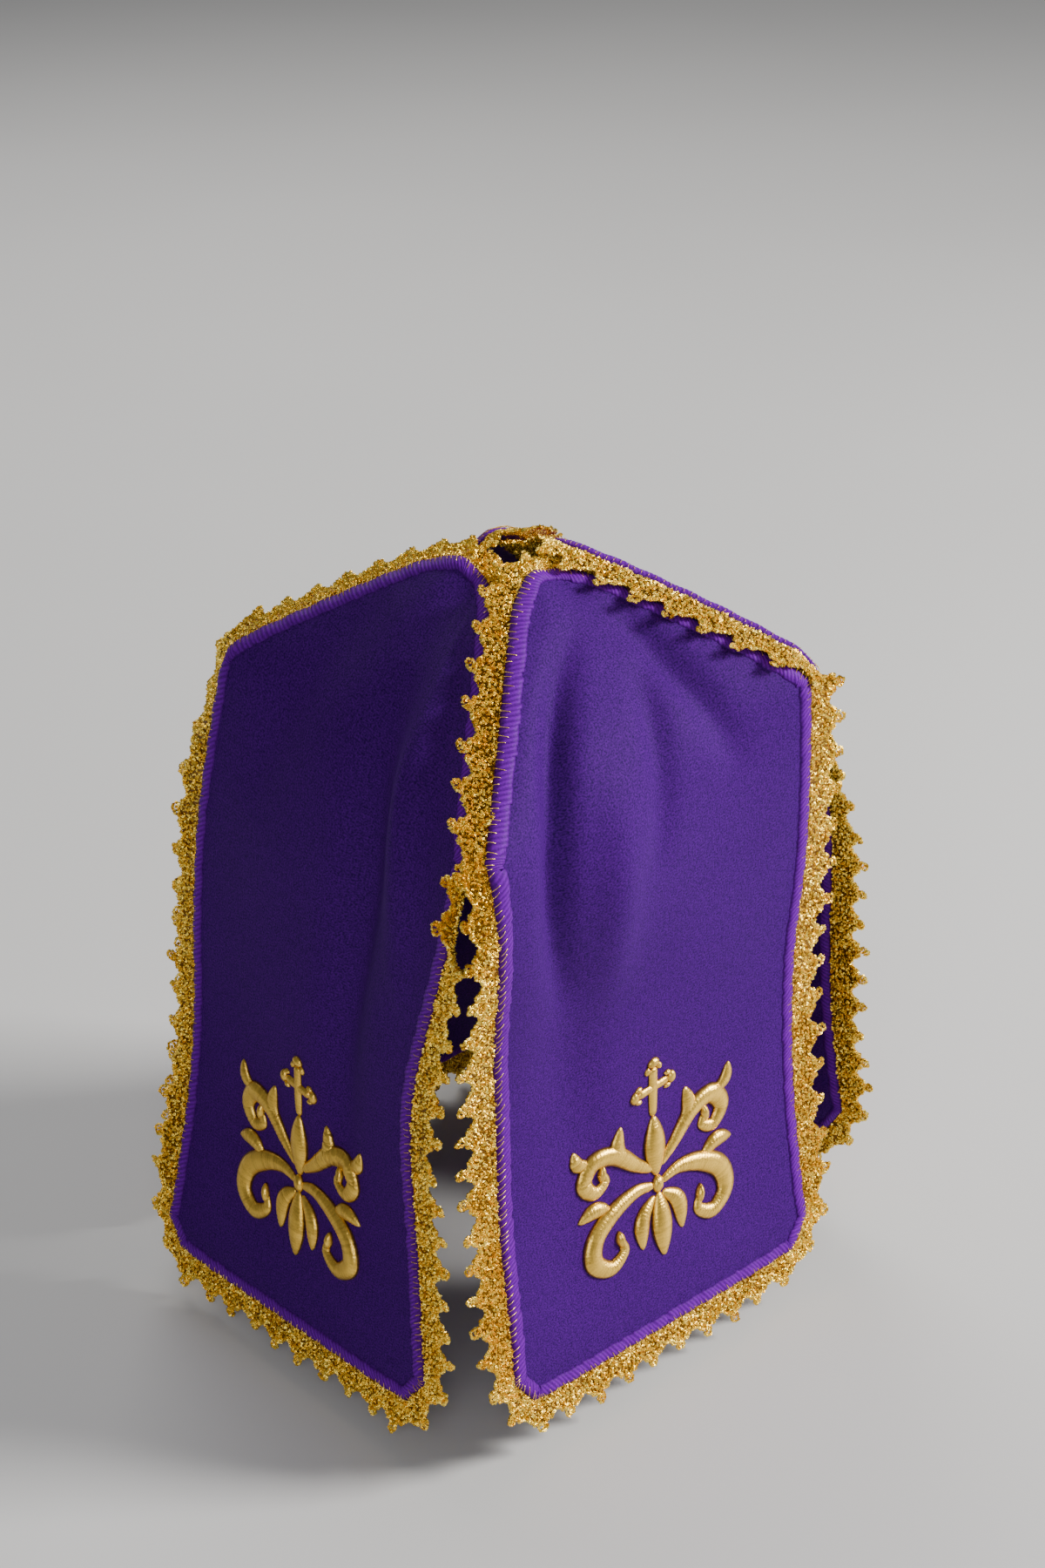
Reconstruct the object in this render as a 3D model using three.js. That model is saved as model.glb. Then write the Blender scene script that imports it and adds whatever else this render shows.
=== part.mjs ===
// A veil for a lidded altar vessel: four cloth panels of one pattern, each with a lace border,
// hung from the crown as a low tent roof with four walls that flare towards the hem.
// Millimetres, +Z up. The origin is under the middle of the crown, where the veil is carried,
// and the front panel faces -Y.
import * as THREE from 'three';

// Thickness of the cloth with its turned edge, of the lace, and the gap between sewn pieces.
const CLOTH_THICK = 1.2;
const LACE_THICK = 1.0;
const SEAM_GAP = 0.45;

// Pattern of one panel, cut flat: lengths run from the crown along the panel's middle line.
const TIP_START = 10;
const TIP_ROUND = 9;
const TIP_FLAT_SHARE = 0.4;
const RIDGE_INSET = 4.5;
const SHOULDER = 64;
const LOWER_CORNER = 212;
const HEM = 219;
const HEM_CORNER_CUT = 6;

// Half width of the cloth at lengths from the crown, from the shoulder to the lower corner.
const SIDE_WIDTHS = [
  { length: 64, half: 50.5 },
  { length: 104, half: 49.5 },
  { length: 138, half: 47.2 },
  { length: 172, half: 48.6 },
  { length: 202, half: 50.9 },
  { length: 212, half: 52.2 },
];

// Fall of the cloth below the horizontal, in degrees, at lengths from the crown: down the middle of a
// panel, where the roof turns softly into the wall, and down its corners, where the shoulder is crisp.
const PROFILE = [
  { length: 0, middle: 12, corner: 12 },
  { length: 12, middle: 28, corner: 28 },
  { length: 28, middle: 36.5, corner: 36.5 },
  { length: 45, middle: 38.5, corner: 37.5 },
  { length: 58, middle: 55, corner: 37.7 },
  { length: 71, middle: 72, corner: 81 },
  { length: 84, middle: 80, corner: 83 },
  { length: 110, middle: 87, corner: 87 },
  { length: 150, middle: 88.5, corner: 88.5 },
  { length: 190, middle: 83, corner: 83 },
  { length: 245, middle: 82.5, corner: 82.5 },
];
const CROWN_HALF = 1.8;
const PROFILE_STEP = 1;
const PROFILE_END = 245;
const CRISP_START = 0.45;
const CRISP_END = 0.95;

// Roof ridges: radius over which the cloth bends, how far down it keeps that bend, and the turn in
// radians after which the border that lies on top runs straight on.
const RIDGE_RADIUS = 10;
const RIDGE_BEND_END = 72;
const RIDGE_BEND_FADE = 30;
const OVER_TURN = 0.45;

// Each panel's left border lies over its neighbour's right border along the roof ridges.
const LAP_LIFT = 1.3;
const LAP_FULL_SHARE = 0.4;
const LAP_END = 84;
const LAP_FADE = 40;

// How far each corner hangs out of true: outwards, up and sideways, at three lengths from the crown.
const CORNER_DRIFT = [
  { corner: 0, length: 64, out: 7.8, up: -6.3, side: 1.1 },
  { corner: 0, length: 138, out: -2.7, up: -9.4, side: -5.6 },
  { corner: 0, length: 212, out: 3.8, up: 4.7, side: 0.2 },
  { corner: 1, length: 64, out: -2.5, up: 5, side: 2.6 },
  { corner: 1, length: 138, out: -5.7, up: -0.5, side: 14.1 },
  { corner: 1, length: 212, out: -7.6, up: 2.8, side: -0.8 },
  { corner: 2, length: 64, out: 2, up: -2, side: -2.5 },
  { corner: 2, length: 138, out: -3, up: -2.5, side: 5 },
  { corner: 2, length: 212, out: 3.5, up: 1.5, side: -3.5 },
  { corner: 3, length: 64, out: -6.1, up: 5.4, side: -1 },
  { corner: 3, length: 138, out: 2.6, up: -1.7, side: -0.7 },
  { corner: 3, length: 212, out: 2.3, up: 0.2, side: 16.8 },
];

// How far one side of a panel hangs clear of its neighbour: outwards from the panel, up and to its
// right, growing from the panel's middle line to that side.
const SIDE_DRIFT = [
  { panel: 1, side: -1, length: 84, out: 0, up: 0, right: 0 },
  { panel: 1, side: -1, length: 138, out: 12, up: 3, right: -3 },
  { panel: 1, side: -1, length: 212, out: 14, up: 14, right: 0 },
];

// Soft folds: a curved run over the panel (from, bend, to), its half breadth and its height,
// which is negative for a trough. Lengths run from the crown and across to the panel's right.
const FOLDS = [
  { panel: 0, from: [22, 14], bend: [46, 18], to: [76, 29], breadth: 6.5, height: -2.6 },
  { panel: 0, from: [30, 2], bend: [66, -46], to: [128, -25], breadth: 7.5, height: -4.2 },
  { panel: 0, from: [40, 10], bend: [58, 4], to: [84, -3], breadth: 5.5, height: -1.8 },
  { panel: 0, from: [56, -10], bend: [84, -16], to: [120, -12], breadth: 8, height: 2.2 },
  { panel: 3, from: [18, 4], bend: [58, 28], to: [104, 36], breadth: 6.5, height: 3.2 },
  { panel: 3, from: [38, 2], bend: [84, 22], to: [168, 19], breadth: 9, height: -4.5 },
  { panel: 3, from: [30, -12], bend: [58, -24], to: [92, -30], breadth: 9, height: -1.8 },
  { panel: 1, from: [24, -8], bend: [60, -24], to: [118, -30], breadth: 8, height: -3.6 },
  { panel: 1, from: [34, 8], bend: [80, 16], to: [160, 12], breadth: 9, height: -3.2 },
  { panel: 1, from: [50, 24], bend: [76, 30], to: [110, 34], breadth: 7, height: 2.4 },
  { panel: 2, from: [22, 6], bend: [58, 26], to: [122, 30], breadth: 8, height: -3.8 },
  { panel: 2, from: [36, -6], bend: [86, -18], to: [150, -22], breadth: 8.5, height: -3 },
  { panel: 2, from: [52, 2], bend: [80, 4], to: [116, 8], breadth: 8, height: 2 },
];
const FOLD_STEPS = 14;
const FOLD_EDGE_FADE = 12;

// Lace: width of its close ground and of the ground with its picots, and the pitch of the picots.
const LACE_GROUND = 7.2;
const LACE_REACH = 12;
const LACE_MIDDLE = 4.4;
const PICOT_PITCH = 9.6;
const PICOT_START = 0.3;
const PICOT_END = 0.7;
const BORDER_LINE = 5;

// Share of the lace's width that shows at lengths from the crown: on the roof it is sewn in deeper, and
// round the lower corners it is drawn in.
const LACE_SHARES = [
  { length: 0, share: 0.5 },
  { length: 34, share: 0.66 },
  { length: 64, share: 0.68 },
  { length: 96, share: 0.74 },
  { length: 130, share: 1 },
  { length: 200, share: 1 },
  { length: 214, share: 0.84 },
  { length: 219, share: 0.96 },
];

// Places where a border has curled up and back, away from the cloth's edge: which side of the panel,
// the lengths between which it curls, and its turn in radians from the curl's start to the picots.
const LACE_CURLS = [
  { panel: 3, side: 1, from: 96, to: 136, turn: 2.5 },
];
const CURL_START = 1.5;

// Mesh fineness: rows along the stretches of a panel, closest round the shoulder, columns across it,
// and samples along its outline.
const ROW_SPANS = [
  { from: TIP_START, to: TIP_START + TIP_ROUND / 3, rows: 1 },
  { from: TIP_START + TIP_ROUND / 3, to: 50, rows: 4 },
  { from: 50, to: SHOULDER, rows: 3 },
  { from: SHOULDER, to: 88, rows: 4 },
  { from: 88, to: LOWER_CORNER, rows: 12 },
  { from: LOWER_CORNER, to: HEM, rows: 1 },
];
const FINE_START = 48;
const FINE_END = 94;
const PANEL_COLUMNS = 14;
const EDGE_CROWDING = 0.5;
const OUTLINE_STEP = 1;

const PANELS = ['front', 'right', 'back', 'left'];
const CORNERS = PANELS.length;
const CLOTH_COLOUR = 0x4a1f8c;
const LACE_COLOUR = 0xc8963c;

// Smooth step from 0 to 1.
function ease(x) {
  const k = THREE.MathUtils.clamp(x, 0, 1);
  return k * k * (3 - 2 * k);
}

// A curve through the rows of a table that keeps its rises and falls, read at a length.
function tableCurve(rows, column) {
  const x = rows.map((row) => row.length);
  const y = rows.map((row) => row[column]);
  const last = x.length - 1;
  const rise = x.slice(1).map((end, i) => (y[i + 1] - y[i]) / (end - x[i]));
  const slope = y.map((_, i) => {
    if (i === 0) return rise[0];
    if (i === last) return rise[last - 1];
    if (rise[i - 1] * rise[i] <= 0) return 0;
    return (2 * rise[i - 1] * rise[i]) / (rise[i - 1] + rise[i]);
  });
  return (length) => {
    const at = THREE.MathUtils.clamp(length, x[0], x[last]);
    let i = 0;
    while (i < last - 1 && at > x[i + 1]) i += 1;
    const span = x[i + 1] - x[i];
    const k = (at - x[i]) / span;
    const start = (1 + 2 * k) * (1 - k) ** 2 * y[i] + k * (1 - k) ** 2 * span * slope[i];
    const end = k * k * (3 - 2 * k) * y[i + 1] + k * k * (k - 1) * span * slope[i + 1];
    return start + end;
  };
}

// Walks down a column of the profile and gives, at a length from the crown, how far out and up the
// cloth is, and its fall there.
function makeProfile(column) {
  const fallAt = tableCurve(PROFILE, column);
  const out = [CROWN_HALF];
  const up = [0];
  for (let length = 0; length < PROFILE_END; length += PROFILE_STEP) {
    const fall = THREE.MathUtils.degToRad(fallAt(length + PROFILE_STEP / 2));
    out.push(out.at(-1) + PROFILE_STEP * Math.cos(fall));
    up.push(up.at(-1) - PROFILE_STEP * Math.sin(fall));
  }
  return (length) => {
    const at = THREE.MathUtils.clamp(length / PROFILE_STEP, 0, out.length - 1.001);
    const i = Math.floor(at);
    return {
      out: THREE.MathUtils.lerp(out[i], out[i + 1], at - i),
      up: THREE.MathUtils.lerp(up[i], up[i + 1], at - i),
      fall: THREE.MathUtils.degToRad(fallAt(length)),
    };
  };
}
const middleProfile = makeProfile('middle');
const cornerProfile = makeProfile('corner');
const sideWidthAt = tableCurve(SIDE_WIDTHS, 'half');

// Half width of the cloth at a length: round tip, ridge edge, side, then the cut corner at the hem.
function halfWidth(length) {
  if (length >= LOWER_CORNER) {
    const cut = (length - LOWER_CORNER) / (HEM - LOWER_CORNER);
    return sideWidthAt(LOWER_CORNER) - HEM_CORNER_CUT * Math.min(cut, 1);
  }
  if (length >= SHOULDER) return sideWidthAt(length);
  const ridgeEdge = cornerProfile(length).out - RIDGE_INSET;
  const left = 1 - THREE.MathUtils.clamp((length - TIP_START) / TIP_ROUND, 0, 1);
  return ridgeEdge * (TIP_FLAT_SHARE + (1 - TIP_FLAT_SHARE) * Math.sqrt(1 - left * left));
}

// Drift of a corner at a length: nothing at the crown, then the rows of its table.
function makeCornerDrift(corner) {
  const rows = CORNER_DRIFT.filter((row) => row.corner === corner);
  const all = [{ length: 0, out: 0, up: 0, side: 0 }, ...rows];
  const curves = ['out', 'up', 'side'].map((column) => tableCurve(all, column));
  return (length) => curves.map((curve) => curve(length));
}
const cornerDrift = PANELS.map((_, corner) => makeCornerDrift(corner));

// Drift of a panel's side at a length, from the rows of its table.
function makeSideDrift(panel, side) {
  const rows = SIDE_DRIFT.filter((row) => row.panel === panel && row.side === side);
  if (rows.length === 0) return null;
  const curves = ['out', 'up', 'right'].map((column) => tableCurve(rows, column));
  return (length) => curves.map((curve) => curve(length));
}
const sideDrift = PANELS.map((_, panel) => ({ [-1]: makeSideDrift(panel, -1), 1: makeSideDrift(panel, 1) }));

// Points of a fold's run, with how far along it each lies.
function foldRun({ from, bend, to }) {
  const points = [from, bend, to].map(([length, across]) => new THREE.Vector2(length, across));
  return new THREE.QuadraticBezierCurve(...points).getPoints(FOLD_STEPS);
}
const foldRuns = FOLDS.map((fold) => ({ ...fold, run: foldRun(fold) }));

// Height of the folds over the plain panel: each dies out at its ends and at the cloth's edge.
function foldHeight(panel, length, across) {
  const edge = ease((halfWidth(length) - Math.abs(across)) / FOLD_EDGE_FADE);
  if (edge === 0) return 0;
  let height = 0;
  for (const fold of foldRuns) {
    if (fold.panel !== panel) continue;
    let nearest = Infinity;
    let along = 0;
    fold.run.forEach((point, i) => {
      const away = Math.hypot(point.x - length, point.y - across);
      if (away >= nearest) return;
      nearest = away;
      along = i / FOLD_STEPS;
    });
    const spread = Math.exp(-((nearest / fold.breadth) ** 2));
    height += fold.height * spread * Math.sin(Math.PI * along);
  }
  return height * edge;
}

// Lift of a panel's borders along the roof ridges: the left one over, the right one under.
function lapLift(length, across, ridge) {
  const share = THREE.MathUtils.clamp(across / (ridge * LAP_FULL_SHARE), -1, 1);
  return -LAP_LIFT * Math.sin((share * Math.PI) / 2) * (1 - ease((length - LAP_END) / LAP_FADE));
}

// Lays a flat point of a panel on the hung veil. Gives the point and the outward normal there.
function hang(panel, length, across) {
  const middle = middleProfile(length);
  const corner = cornerProfile(length);
  const crisp = ease((Math.abs(across) / corner.out - CRISP_START) / (CRISP_END - CRISP_START));
  const out = THREE.MathUtils.lerp(middle.out, corner.out, crisp);
  const up = THREE.MathUtils.lerp(middle.up, corner.up, crisp);
  const fall = THREE.MathUtils.lerp(middle.fall, corner.fall, crisp);

  const bend = Math.min(RIDGE_RADIUS * (1 - ease((length - RIDGE_BEND_END) / RIDGE_BEND_FADE)), corner.out);
  const straight = corner.out - bend;
  const beyond = Math.max(Math.abs(across) - straight, 0);
  const side = Math.sign(across);
  const turn = bend > 0 ? Math.min(beyond / bend, side < 0 ? OVER_TURN : Math.PI / 2) : 0;
  const past = beyond - turn * bend;
  const reach = bend * Math.sin(turn) + past * Math.cos(turn);
  const x = side * (Math.min(Math.abs(across), straight) + reach);
  const y = out - bend * (1 - Math.cos(turn)) - past * Math.sin(turn);

  const facing = (panel * 2 * Math.PI) / CORNERS;
  const outward = new THREE.Vector3(Math.sin(facing), -Math.cos(facing), 0);
  const sideways = new THREE.Vector3(Math.cos(facing), Math.sin(facing), 0);
  const point = new THREE.Vector3(0, 0, up).addScaledVector(outward, y).addScaledVector(sideways, x);

  const normal = new THREE.Vector3(0, 0, Math.cos(fall));
  normal.addScaledVector(outward, Math.sin(fall) * Math.cos(turn));
  normal.addScaledVector(sideways, side * Math.sin(fall) * Math.sin(turn));

  const ridge = straight + (bend * Math.PI) / 4;
  const place = panel + 0.5 + across / ridge / 2;
  for (let index = 0; index < CORNERS; index += 1) {
    const gap = Math.abs(THREE.MathUtils.euclideanModulo(place - index + 2, CORNERS) - 2);
    const weight = Math.max(1 - gap, 0);
    if (weight === 0) continue;
    const [driftOut, driftUp, driftSide] = cornerDrift[index](length);
    const bearing = ((index - 0.5) * 2 * Math.PI) / CORNERS;
    const shift = new THREE.Vector3(
      driftOut * Math.sin(bearing) + driftSide * Math.cos(bearing),
      -driftOut * Math.cos(bearing) + driftSide * Math.sin(bearing),
      driftUp,
    );
    point.addScaledVector(shift, weight);
  }
  const ownDrift = sideDrift[panel][side < 0 ? -1 : 1];
  if (ownDrift) {
    const [driftOut, driftUp, driftRight] = ownDrift(length);
    const weight = ease(Math.abs(across) / ridge);
    point.addScaledVector(outward, driftOut * weight).addScaledVector(sideways, driftRight * weight);
    point.z += driftUp * weight;
  }
  point.addScaledVector(normal, foldHeight(panel, length, across) + lapLift(length, across, ridge));
  return { point, normal };
}

// The cloth's outline, walked once round: down the left side, along the hem, up the right side, over
// the tip. Each sample has its place, the direction that faces away from the cloth, and how far round
// it is, measured on a line a little outside the edge so that corners get their share of the lace.
function makeOutline() {
  const samples = [];
  for (let length = TIP_START; length < HEM; length += OUTLINE_STEP) {
    samples.push([length, -halfWidth(length)]);
  }
  const hemHalf = halfWidth(HEM);
  for (let across = -hemHalf; across < hemHalf; across += OUTLINE_STEP) samples.push([HEM, across]);
  for (let length = HEM; length > TIP_START; length -= OUTLINE_STEP) {
    samples.push([length, halfWidth(length)]);
  }
  const tipHalf = halfWidth(TIP_START);
  for (let across = tipHalf; across > -tipHalf; across -= OUTLINE_STEP) {
    samples.push([TIP_START, across]);
  }
  const count = samples.length;
  const outline = samples.map(([length, across], i) => {
    const before = samples[(i + count - 2) % count];
    const after = samples[(i + 2) % count];
    const angle = Math.atan2(-(after[0] - before[0]), after[1] - before[1]);
    return { length, across, angle: angle + Math.PI / 2, round: 0 };
  });
  outline.push({ ...outline[0] });
  for (let i = 1; i <= count; i += 1) {
    const a = outline[i - 1];
    const b = outline[i];
    const step = b.angle - a.angle;
    b.angle -= Math.round(step / (2 * Math.PI)) * 2 * Math.PI;
    const [fromLength, fromAcross] = outside(a, BORDER_LINE);
    const [toLength, toAcross] = outside(b, BORDER_LINE);
    b.round = a.round + Math.hypot(toLength - fromLength, toAcross - fromAcross);
  }
  return outline;
}

// The flat point that lies a distance outside an outline sample.
function outside({ length, across, angle }, distance) {
  return [length + distance * Math.sin(angle), across - distance * Math.cos(angle)];
}

// The outline sample at a way round, with place and direction worked out between its neighbours.
function outlineAt(outline, round) {
  let i = 1;
  while (i < outline.length - 1 && outline[i].round < round) i += 1;
  const a = outline[i - 1];
  const b = outline[i];
  const k = (round - a.round) / Math.max(b.round - a.round, 1e-6);
  const mix = (key) => THREE.MathUtils.lerp(a[key], b[key], k);
  return { length: mix('length'), across: mix('across'), angle: mix('angle') };
}

// How sharply the lace curls beside an outline sample, in radians for each millimetre.
function laceCurl(panel, { length, across }) {
  let curl = 0;
  for (const { panel: curled, side, from, to, turn } of LACE_CURLS) {
    const share = (length - from) / (to - from);
    const here = curled === panel && side === Math.sign(across) && share > 0 && share < 1;
    if (here) curl += (turn * Math.sin(Math.PI * share) ** 2) / (LACE_REACH - CURL_START);
  }
  return curl;
}

// Lays a point of the lace, a distance outside an outline sample, on the hung veil. A curled border
// leaves the panel's surface on an arc.
function hangLace(panel, sample, distance) {
  const curl = laceCurl(panel, sample);
  const turn = curl * Math.max(distance - CURL_START, 0);
  if (turn === 0) return hang(panel, ...outside(sample, distance));
  const { point, normal } = hang(panel, ...outside(sample, CURL_START));
  const away = hang(panel, ...outside(sample, LACE_REACH)).point.sub(point).normalize();
  point.addScaledVector(away, Math.sin(turn) / curl).addScaledVector(normal, (1 - Math.cos(turn)) / curl);
  normal.multiplyScalar(Math.cos(turn)).addScaledVector(away, -Math.sin(turn)).normalize();
  return { point, normal };
}

// A closed body from the hung points and the triangles of a sheet, thickened both ways, with walls
// along its closed edges.
function thicken(hung, faces, edges, thickness) {
  const count = hung.length;
  const positions = [];
  for (const side of [1, -1]) {
    for (const { point, normal } of hung) {
      positions.push(...point.clone().addScaledVector(normal, (side * thickness) / 2).toArray());
    }
  }
  const triangles = [];
  for (const [a, b, c] of faces) {
    triangles.push(a, b, c);
    triangles.push(count + a, count + c, count + b);
  }
  for (const edge of edges) {
    edge.forEach((a, i) => {
      const b = edge[(i + 1) % edge.length];
      triangles.push(b, a, count + a);
      triangles.push(b, count + a, count + b);
    });
  }
  const geometry = new THREE.BufferGeometry();
  geometry.setAttribute('position', new THREE.Float32BufferAttribute(positions, 3));
  geometry.setIndex(triangles);
  geometry.computeVertexNormals();
  return geometry;
}

// Lengths of the cloth's rows: even steps in each of its spans.
function rowLengths() {
  const lengths = [TIP_START];
  for (const { from, to, rows } of ROW_SPANS) {
    for (let row = 1; row <= rows; row += 1) lengths.push(THREE.MathUtils.lerp(from, to, row / rows));
  }
  return lengths;
}

// Shares of the half width at which the cloth's columns lie, closer together near the edges.
function columnShares() {
  return Array.from({ length: PANEL_COLUMNS + 1 }, (_, column) => {
    const even = (2 * column) / PANEL_COLUMNS - 1;
    const crowded = Math.sin((even * Math.PI) / 2);
    return THREE.MathUtils.lerp(even, crowded, EDGE_CROWDING);
  });
}

// Flat points, triangles and rim of one cloth panel.
function clothSheet() {
  const shares = columnShares();
  const lengths = rowLengths();
  const flat = [];
  for (const length of lengths) {
    for (const share of shares) flat.push([length, share * halfWidth(length)]);
  }
  const wide = PANEL_COLUMNS + 1;
  const last = lengths.length - 1;
  const faces = [];
  for (let row = 0; row < last; row += 1) {
    for (let column = 0; column < PANEL_COLUMNS; column += 1) {
      const a = row * wide + column;
      faces.push([a, a + wide, a + wide + 1]);
      faces.push([a, a + wide + 1, a + 1]);
    }
  }
  const rim = [];
  for (let row = 0; row < last; row += 1) rim.push(row * wide);
  for (let column = 0; column < PANEL_COLUMNS; column += 1) rim.push(last * wide + column);
  for (let row = last; row > 0; row -= 1) rim.push(row * wide + PANEL_COLUMNS);
  for (let column = PANEL_COLUMNS; column > 0; column -= 1) rim.push(column);
  return { flat, faces, rim };
}

// Distance of a row of the lace from the cloth's edge.
const laceShareAt = tableCurve(LACE_SHARES, 'share');
function laceDistance(length, distance) {
  return distance * laceShareAt(length);
}

// The inner edge of the lace: the cloth's rim, to be moved out by the seam gap at right angles to both
// of the rim's sides that meet at each point.
function laceInner({ flat, rim }) {
  return rim.map((index, i) => {
    const [length, across] = flat[index];
    const before = flat[rim[(i + rim.length - 1) % rim.length]];
    const after = flat[rim[(i + 1) % rim.length]];
    const into = new THREE.Vector2(across - before[1], -(length - before[0])).normalize();
    const from = new THREE.Vector2(after[1] - across, -(after[0] - length)).normalize();
    const mitre = into.clone().add(from).normalize();
    const sample = { length, across, angle: Math.atan2(mitre.x, -mitre.y) };
    return { sample, distance: SEAM_GAP / mitre.dot(into) };
  });
}

// How far round the outline each point of the rim lies: the nearest sample of the outline.
function rimRounds({ flat, rim }, outline) {
  let first = 0;
  return rim.map((index) => {
    const [length, across] = flat[index];
    let best = first;
    let nearest = Infinity;
    for (let i = first; i < outline.length - 1; i += 1) {
      const away = Math.hypot(outline[i].length - length, outline[i].across - across);
      if (away < nearest) {
        nearest = away;
        best = i;
      }
    }
    first = best;
    return outline[best].round;
  });
}

// Triangles between two closed rows of points, each taken in order of its ways round.
function bridge(inner, outer, total) {
  const faces = [];
  let i = 0;
  let o = 0;
  const roundOf = (row, index) => row[index % row.length].round + Math.floor(index / row.length) * total;
  while (i < inner.length || o < outer.length) {
    const a = inner[i % inner.length].index;
    const b = outer[o % outer.length].index;
    const nextInner = i < inner.length ? roundOf(inner, i + 1) : Infinity;
    const nextOuter = o < outer.length ? roundOf(outer, o + 1) : Infinity;
    if (nextInner < nextOuter) {
      i += 1;
      faces.push([a, b, inner[i % inner.length].index]);
    } else {
      o += 1;
      faces.push([a, b, outer[o % outer.length].index]);
    }
  }
  return faces;
}

// Places beside the outline, triangles and edges of the lace border of one panel.
function laceSheet(cloth) {
  const outline = makeOutline();
  const total = outline.at(-1).round;
  const repeats = Math.round(total / PICOT_PITCH);
  const pitch = total / repeats;
  const spots = [];
  const addRow = (row) => row.map(({ round, spot }) => {
    spots.push(spot);
    return { round, index: spots.length - 1 };
  });
  const rowAt = (rounds) => addRow(rounds.map(([round, distance]) => {
    const sample = outlineAt(outline, round);
    return { round, spot: { sample, distance: laceDistance(sample.length, distance) } };
  }));
  const middleRounds = [];
  const outerRounds = [];
  for (let repeat = 0; repeat < repeats; repeat += 1) {
    const { length } = outlineAt(outline, repeat * pitch);
    if (length > FINE_START && length < FINE_END) middleRounds.push([repeat * pitch, LACE_MIDDLE]);
    middleRounds.push([(repeat + (PICOT_START + PICOT_END) / 2) * pitch, LACE_MIDDLE]);
    outerRounds.push([repeat * pitch, LACE_GROUND]);
    outerRounds.push([(repeat + PICOT_START) * pitch, LACE_REACH]);
    outerRounds.push([(repeat + PICOT_END) * pitch, LACE_REACH]);
  }
  const rounds = rimRounds(cloth, outline);
  const inner = addRow(laceInner(cloth).map((spot, i) => ({ round: rounds[i], spot })));
  const middle = rowAt(middleRounds);
  const outer = rowAt(outerRounds);
  const faces = [...bridge(inner, middle, total), ...bridge(middle, outer, total)];
  const edges = [outer.map(({ index }) => index), inner.map(({ index }) => index).reverse()];
  return { spots, faces, edges };
}

const clothMaterial = () => new THREE.MeshStandardMaterial({
  color: CLOTH_COLOUR,
  roughness: 0.75,
  metalness: 0,
});

const laceMaterial = () => new THREE.MeshStandardMaterial({
  color: LACE_COLOUR,
  roughness: 0.45,
  metalness: 0.6,
});

const veil = new THREE.Group();
veil.name = 'ciborium_veil';
const cloth = clothSheet();
const lace = laceSheet(cloth);
PANELS.forEach((name, panel) => {
  const hungCloth = cloth.flat.map(([length, across]) => hang(panel, length, across));
  const clothBody = thicken(hungCloth, cloth.faces, [cloth.rim], CLOTH_THICK);
  const clothMesh = new THREE.Mesh(clothBody, clothMaterial());
  clothMesh.name = `panel_${name}`;
  veil.add(clothMesh);

  const hungLace = lace.spots.map(({ sample, distance }) => hangLace(panel, sample, distance));
  const laceBody = thicken(hungLace, lace.faces, lace.edges, LACE_THICK);
  const laceMesh = new THREE.Mesh(laceBody, laceMaterial());
  laceMesh.name = `lace_${name}`;
  veil.add(laceMesh);
});

export default veil;
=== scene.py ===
"""Looks of a ciborium veil: violet cloth panels with overcast edges, gold lace borders and embroidery.

The hung shape is worked out once, from the sizes of the cut and of its fall, and every piece lies on it.
Sizes are in millimetres in the tables and become metres when a mesh is made.
"""

import logging
import math
from dataclasses import dataclass, field
from enum import Enum

import bpy
import numpy as np
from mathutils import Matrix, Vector


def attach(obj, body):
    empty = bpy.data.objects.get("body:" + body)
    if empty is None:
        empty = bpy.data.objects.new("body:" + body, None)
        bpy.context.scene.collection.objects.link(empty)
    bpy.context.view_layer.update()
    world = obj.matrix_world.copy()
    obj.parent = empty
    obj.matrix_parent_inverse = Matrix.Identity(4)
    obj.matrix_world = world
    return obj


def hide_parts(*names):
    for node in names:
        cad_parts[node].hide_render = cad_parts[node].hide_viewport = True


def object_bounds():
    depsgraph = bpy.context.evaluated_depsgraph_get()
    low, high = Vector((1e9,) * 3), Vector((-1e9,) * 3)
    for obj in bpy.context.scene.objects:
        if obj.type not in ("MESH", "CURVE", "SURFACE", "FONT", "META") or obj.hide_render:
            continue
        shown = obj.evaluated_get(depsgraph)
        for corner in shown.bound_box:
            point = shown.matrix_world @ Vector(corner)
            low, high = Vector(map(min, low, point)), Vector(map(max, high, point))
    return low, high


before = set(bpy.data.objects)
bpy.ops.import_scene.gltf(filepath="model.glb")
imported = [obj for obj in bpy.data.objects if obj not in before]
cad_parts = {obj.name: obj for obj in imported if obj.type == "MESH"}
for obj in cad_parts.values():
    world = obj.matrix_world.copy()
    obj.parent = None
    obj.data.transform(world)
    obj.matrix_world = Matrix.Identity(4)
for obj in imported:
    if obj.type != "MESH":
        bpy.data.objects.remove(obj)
CAD_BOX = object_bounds()

Array = np.ndarray
MM = 0.001
TINY = 1e-9
UP = np.array([0.0, 0.0, 1.0])
BODY = "root"
LOG = logging.getLogger("veil")


class Side(Enum):
    """The panels in order round the veil, by the way each faces."""

    FRONT = 0
    RIGHT = 1
    BACK = 2
    LEFT = 3

    @property
    def label(self) -> str:
        """The panel's name in the frame's node names."""
        return self.name.lower()

    @property
    def neighbour(self) -> "Side":
        """The panel whose right border lies under this panel's left border."""
        return Side((self.value - 1) % len(Side))

    @property
    def facing(self) -> float:
        """How far round the veil the panel faces, in radians from the front."""
        return self.value * math.tau / len(Side)

    @property
    def outward(self) -> Array:
        """The level direction that the panel faces."""
        return np.array([math.sin(self.facing), -math.cos(self.facing), 0.0])

    @property
    def sideways(self) -> Array:
        """The level direction to the panel's right."""
        return np.array([math.cos(self.facing), math.sin(self.facing), 0.0])


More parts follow.
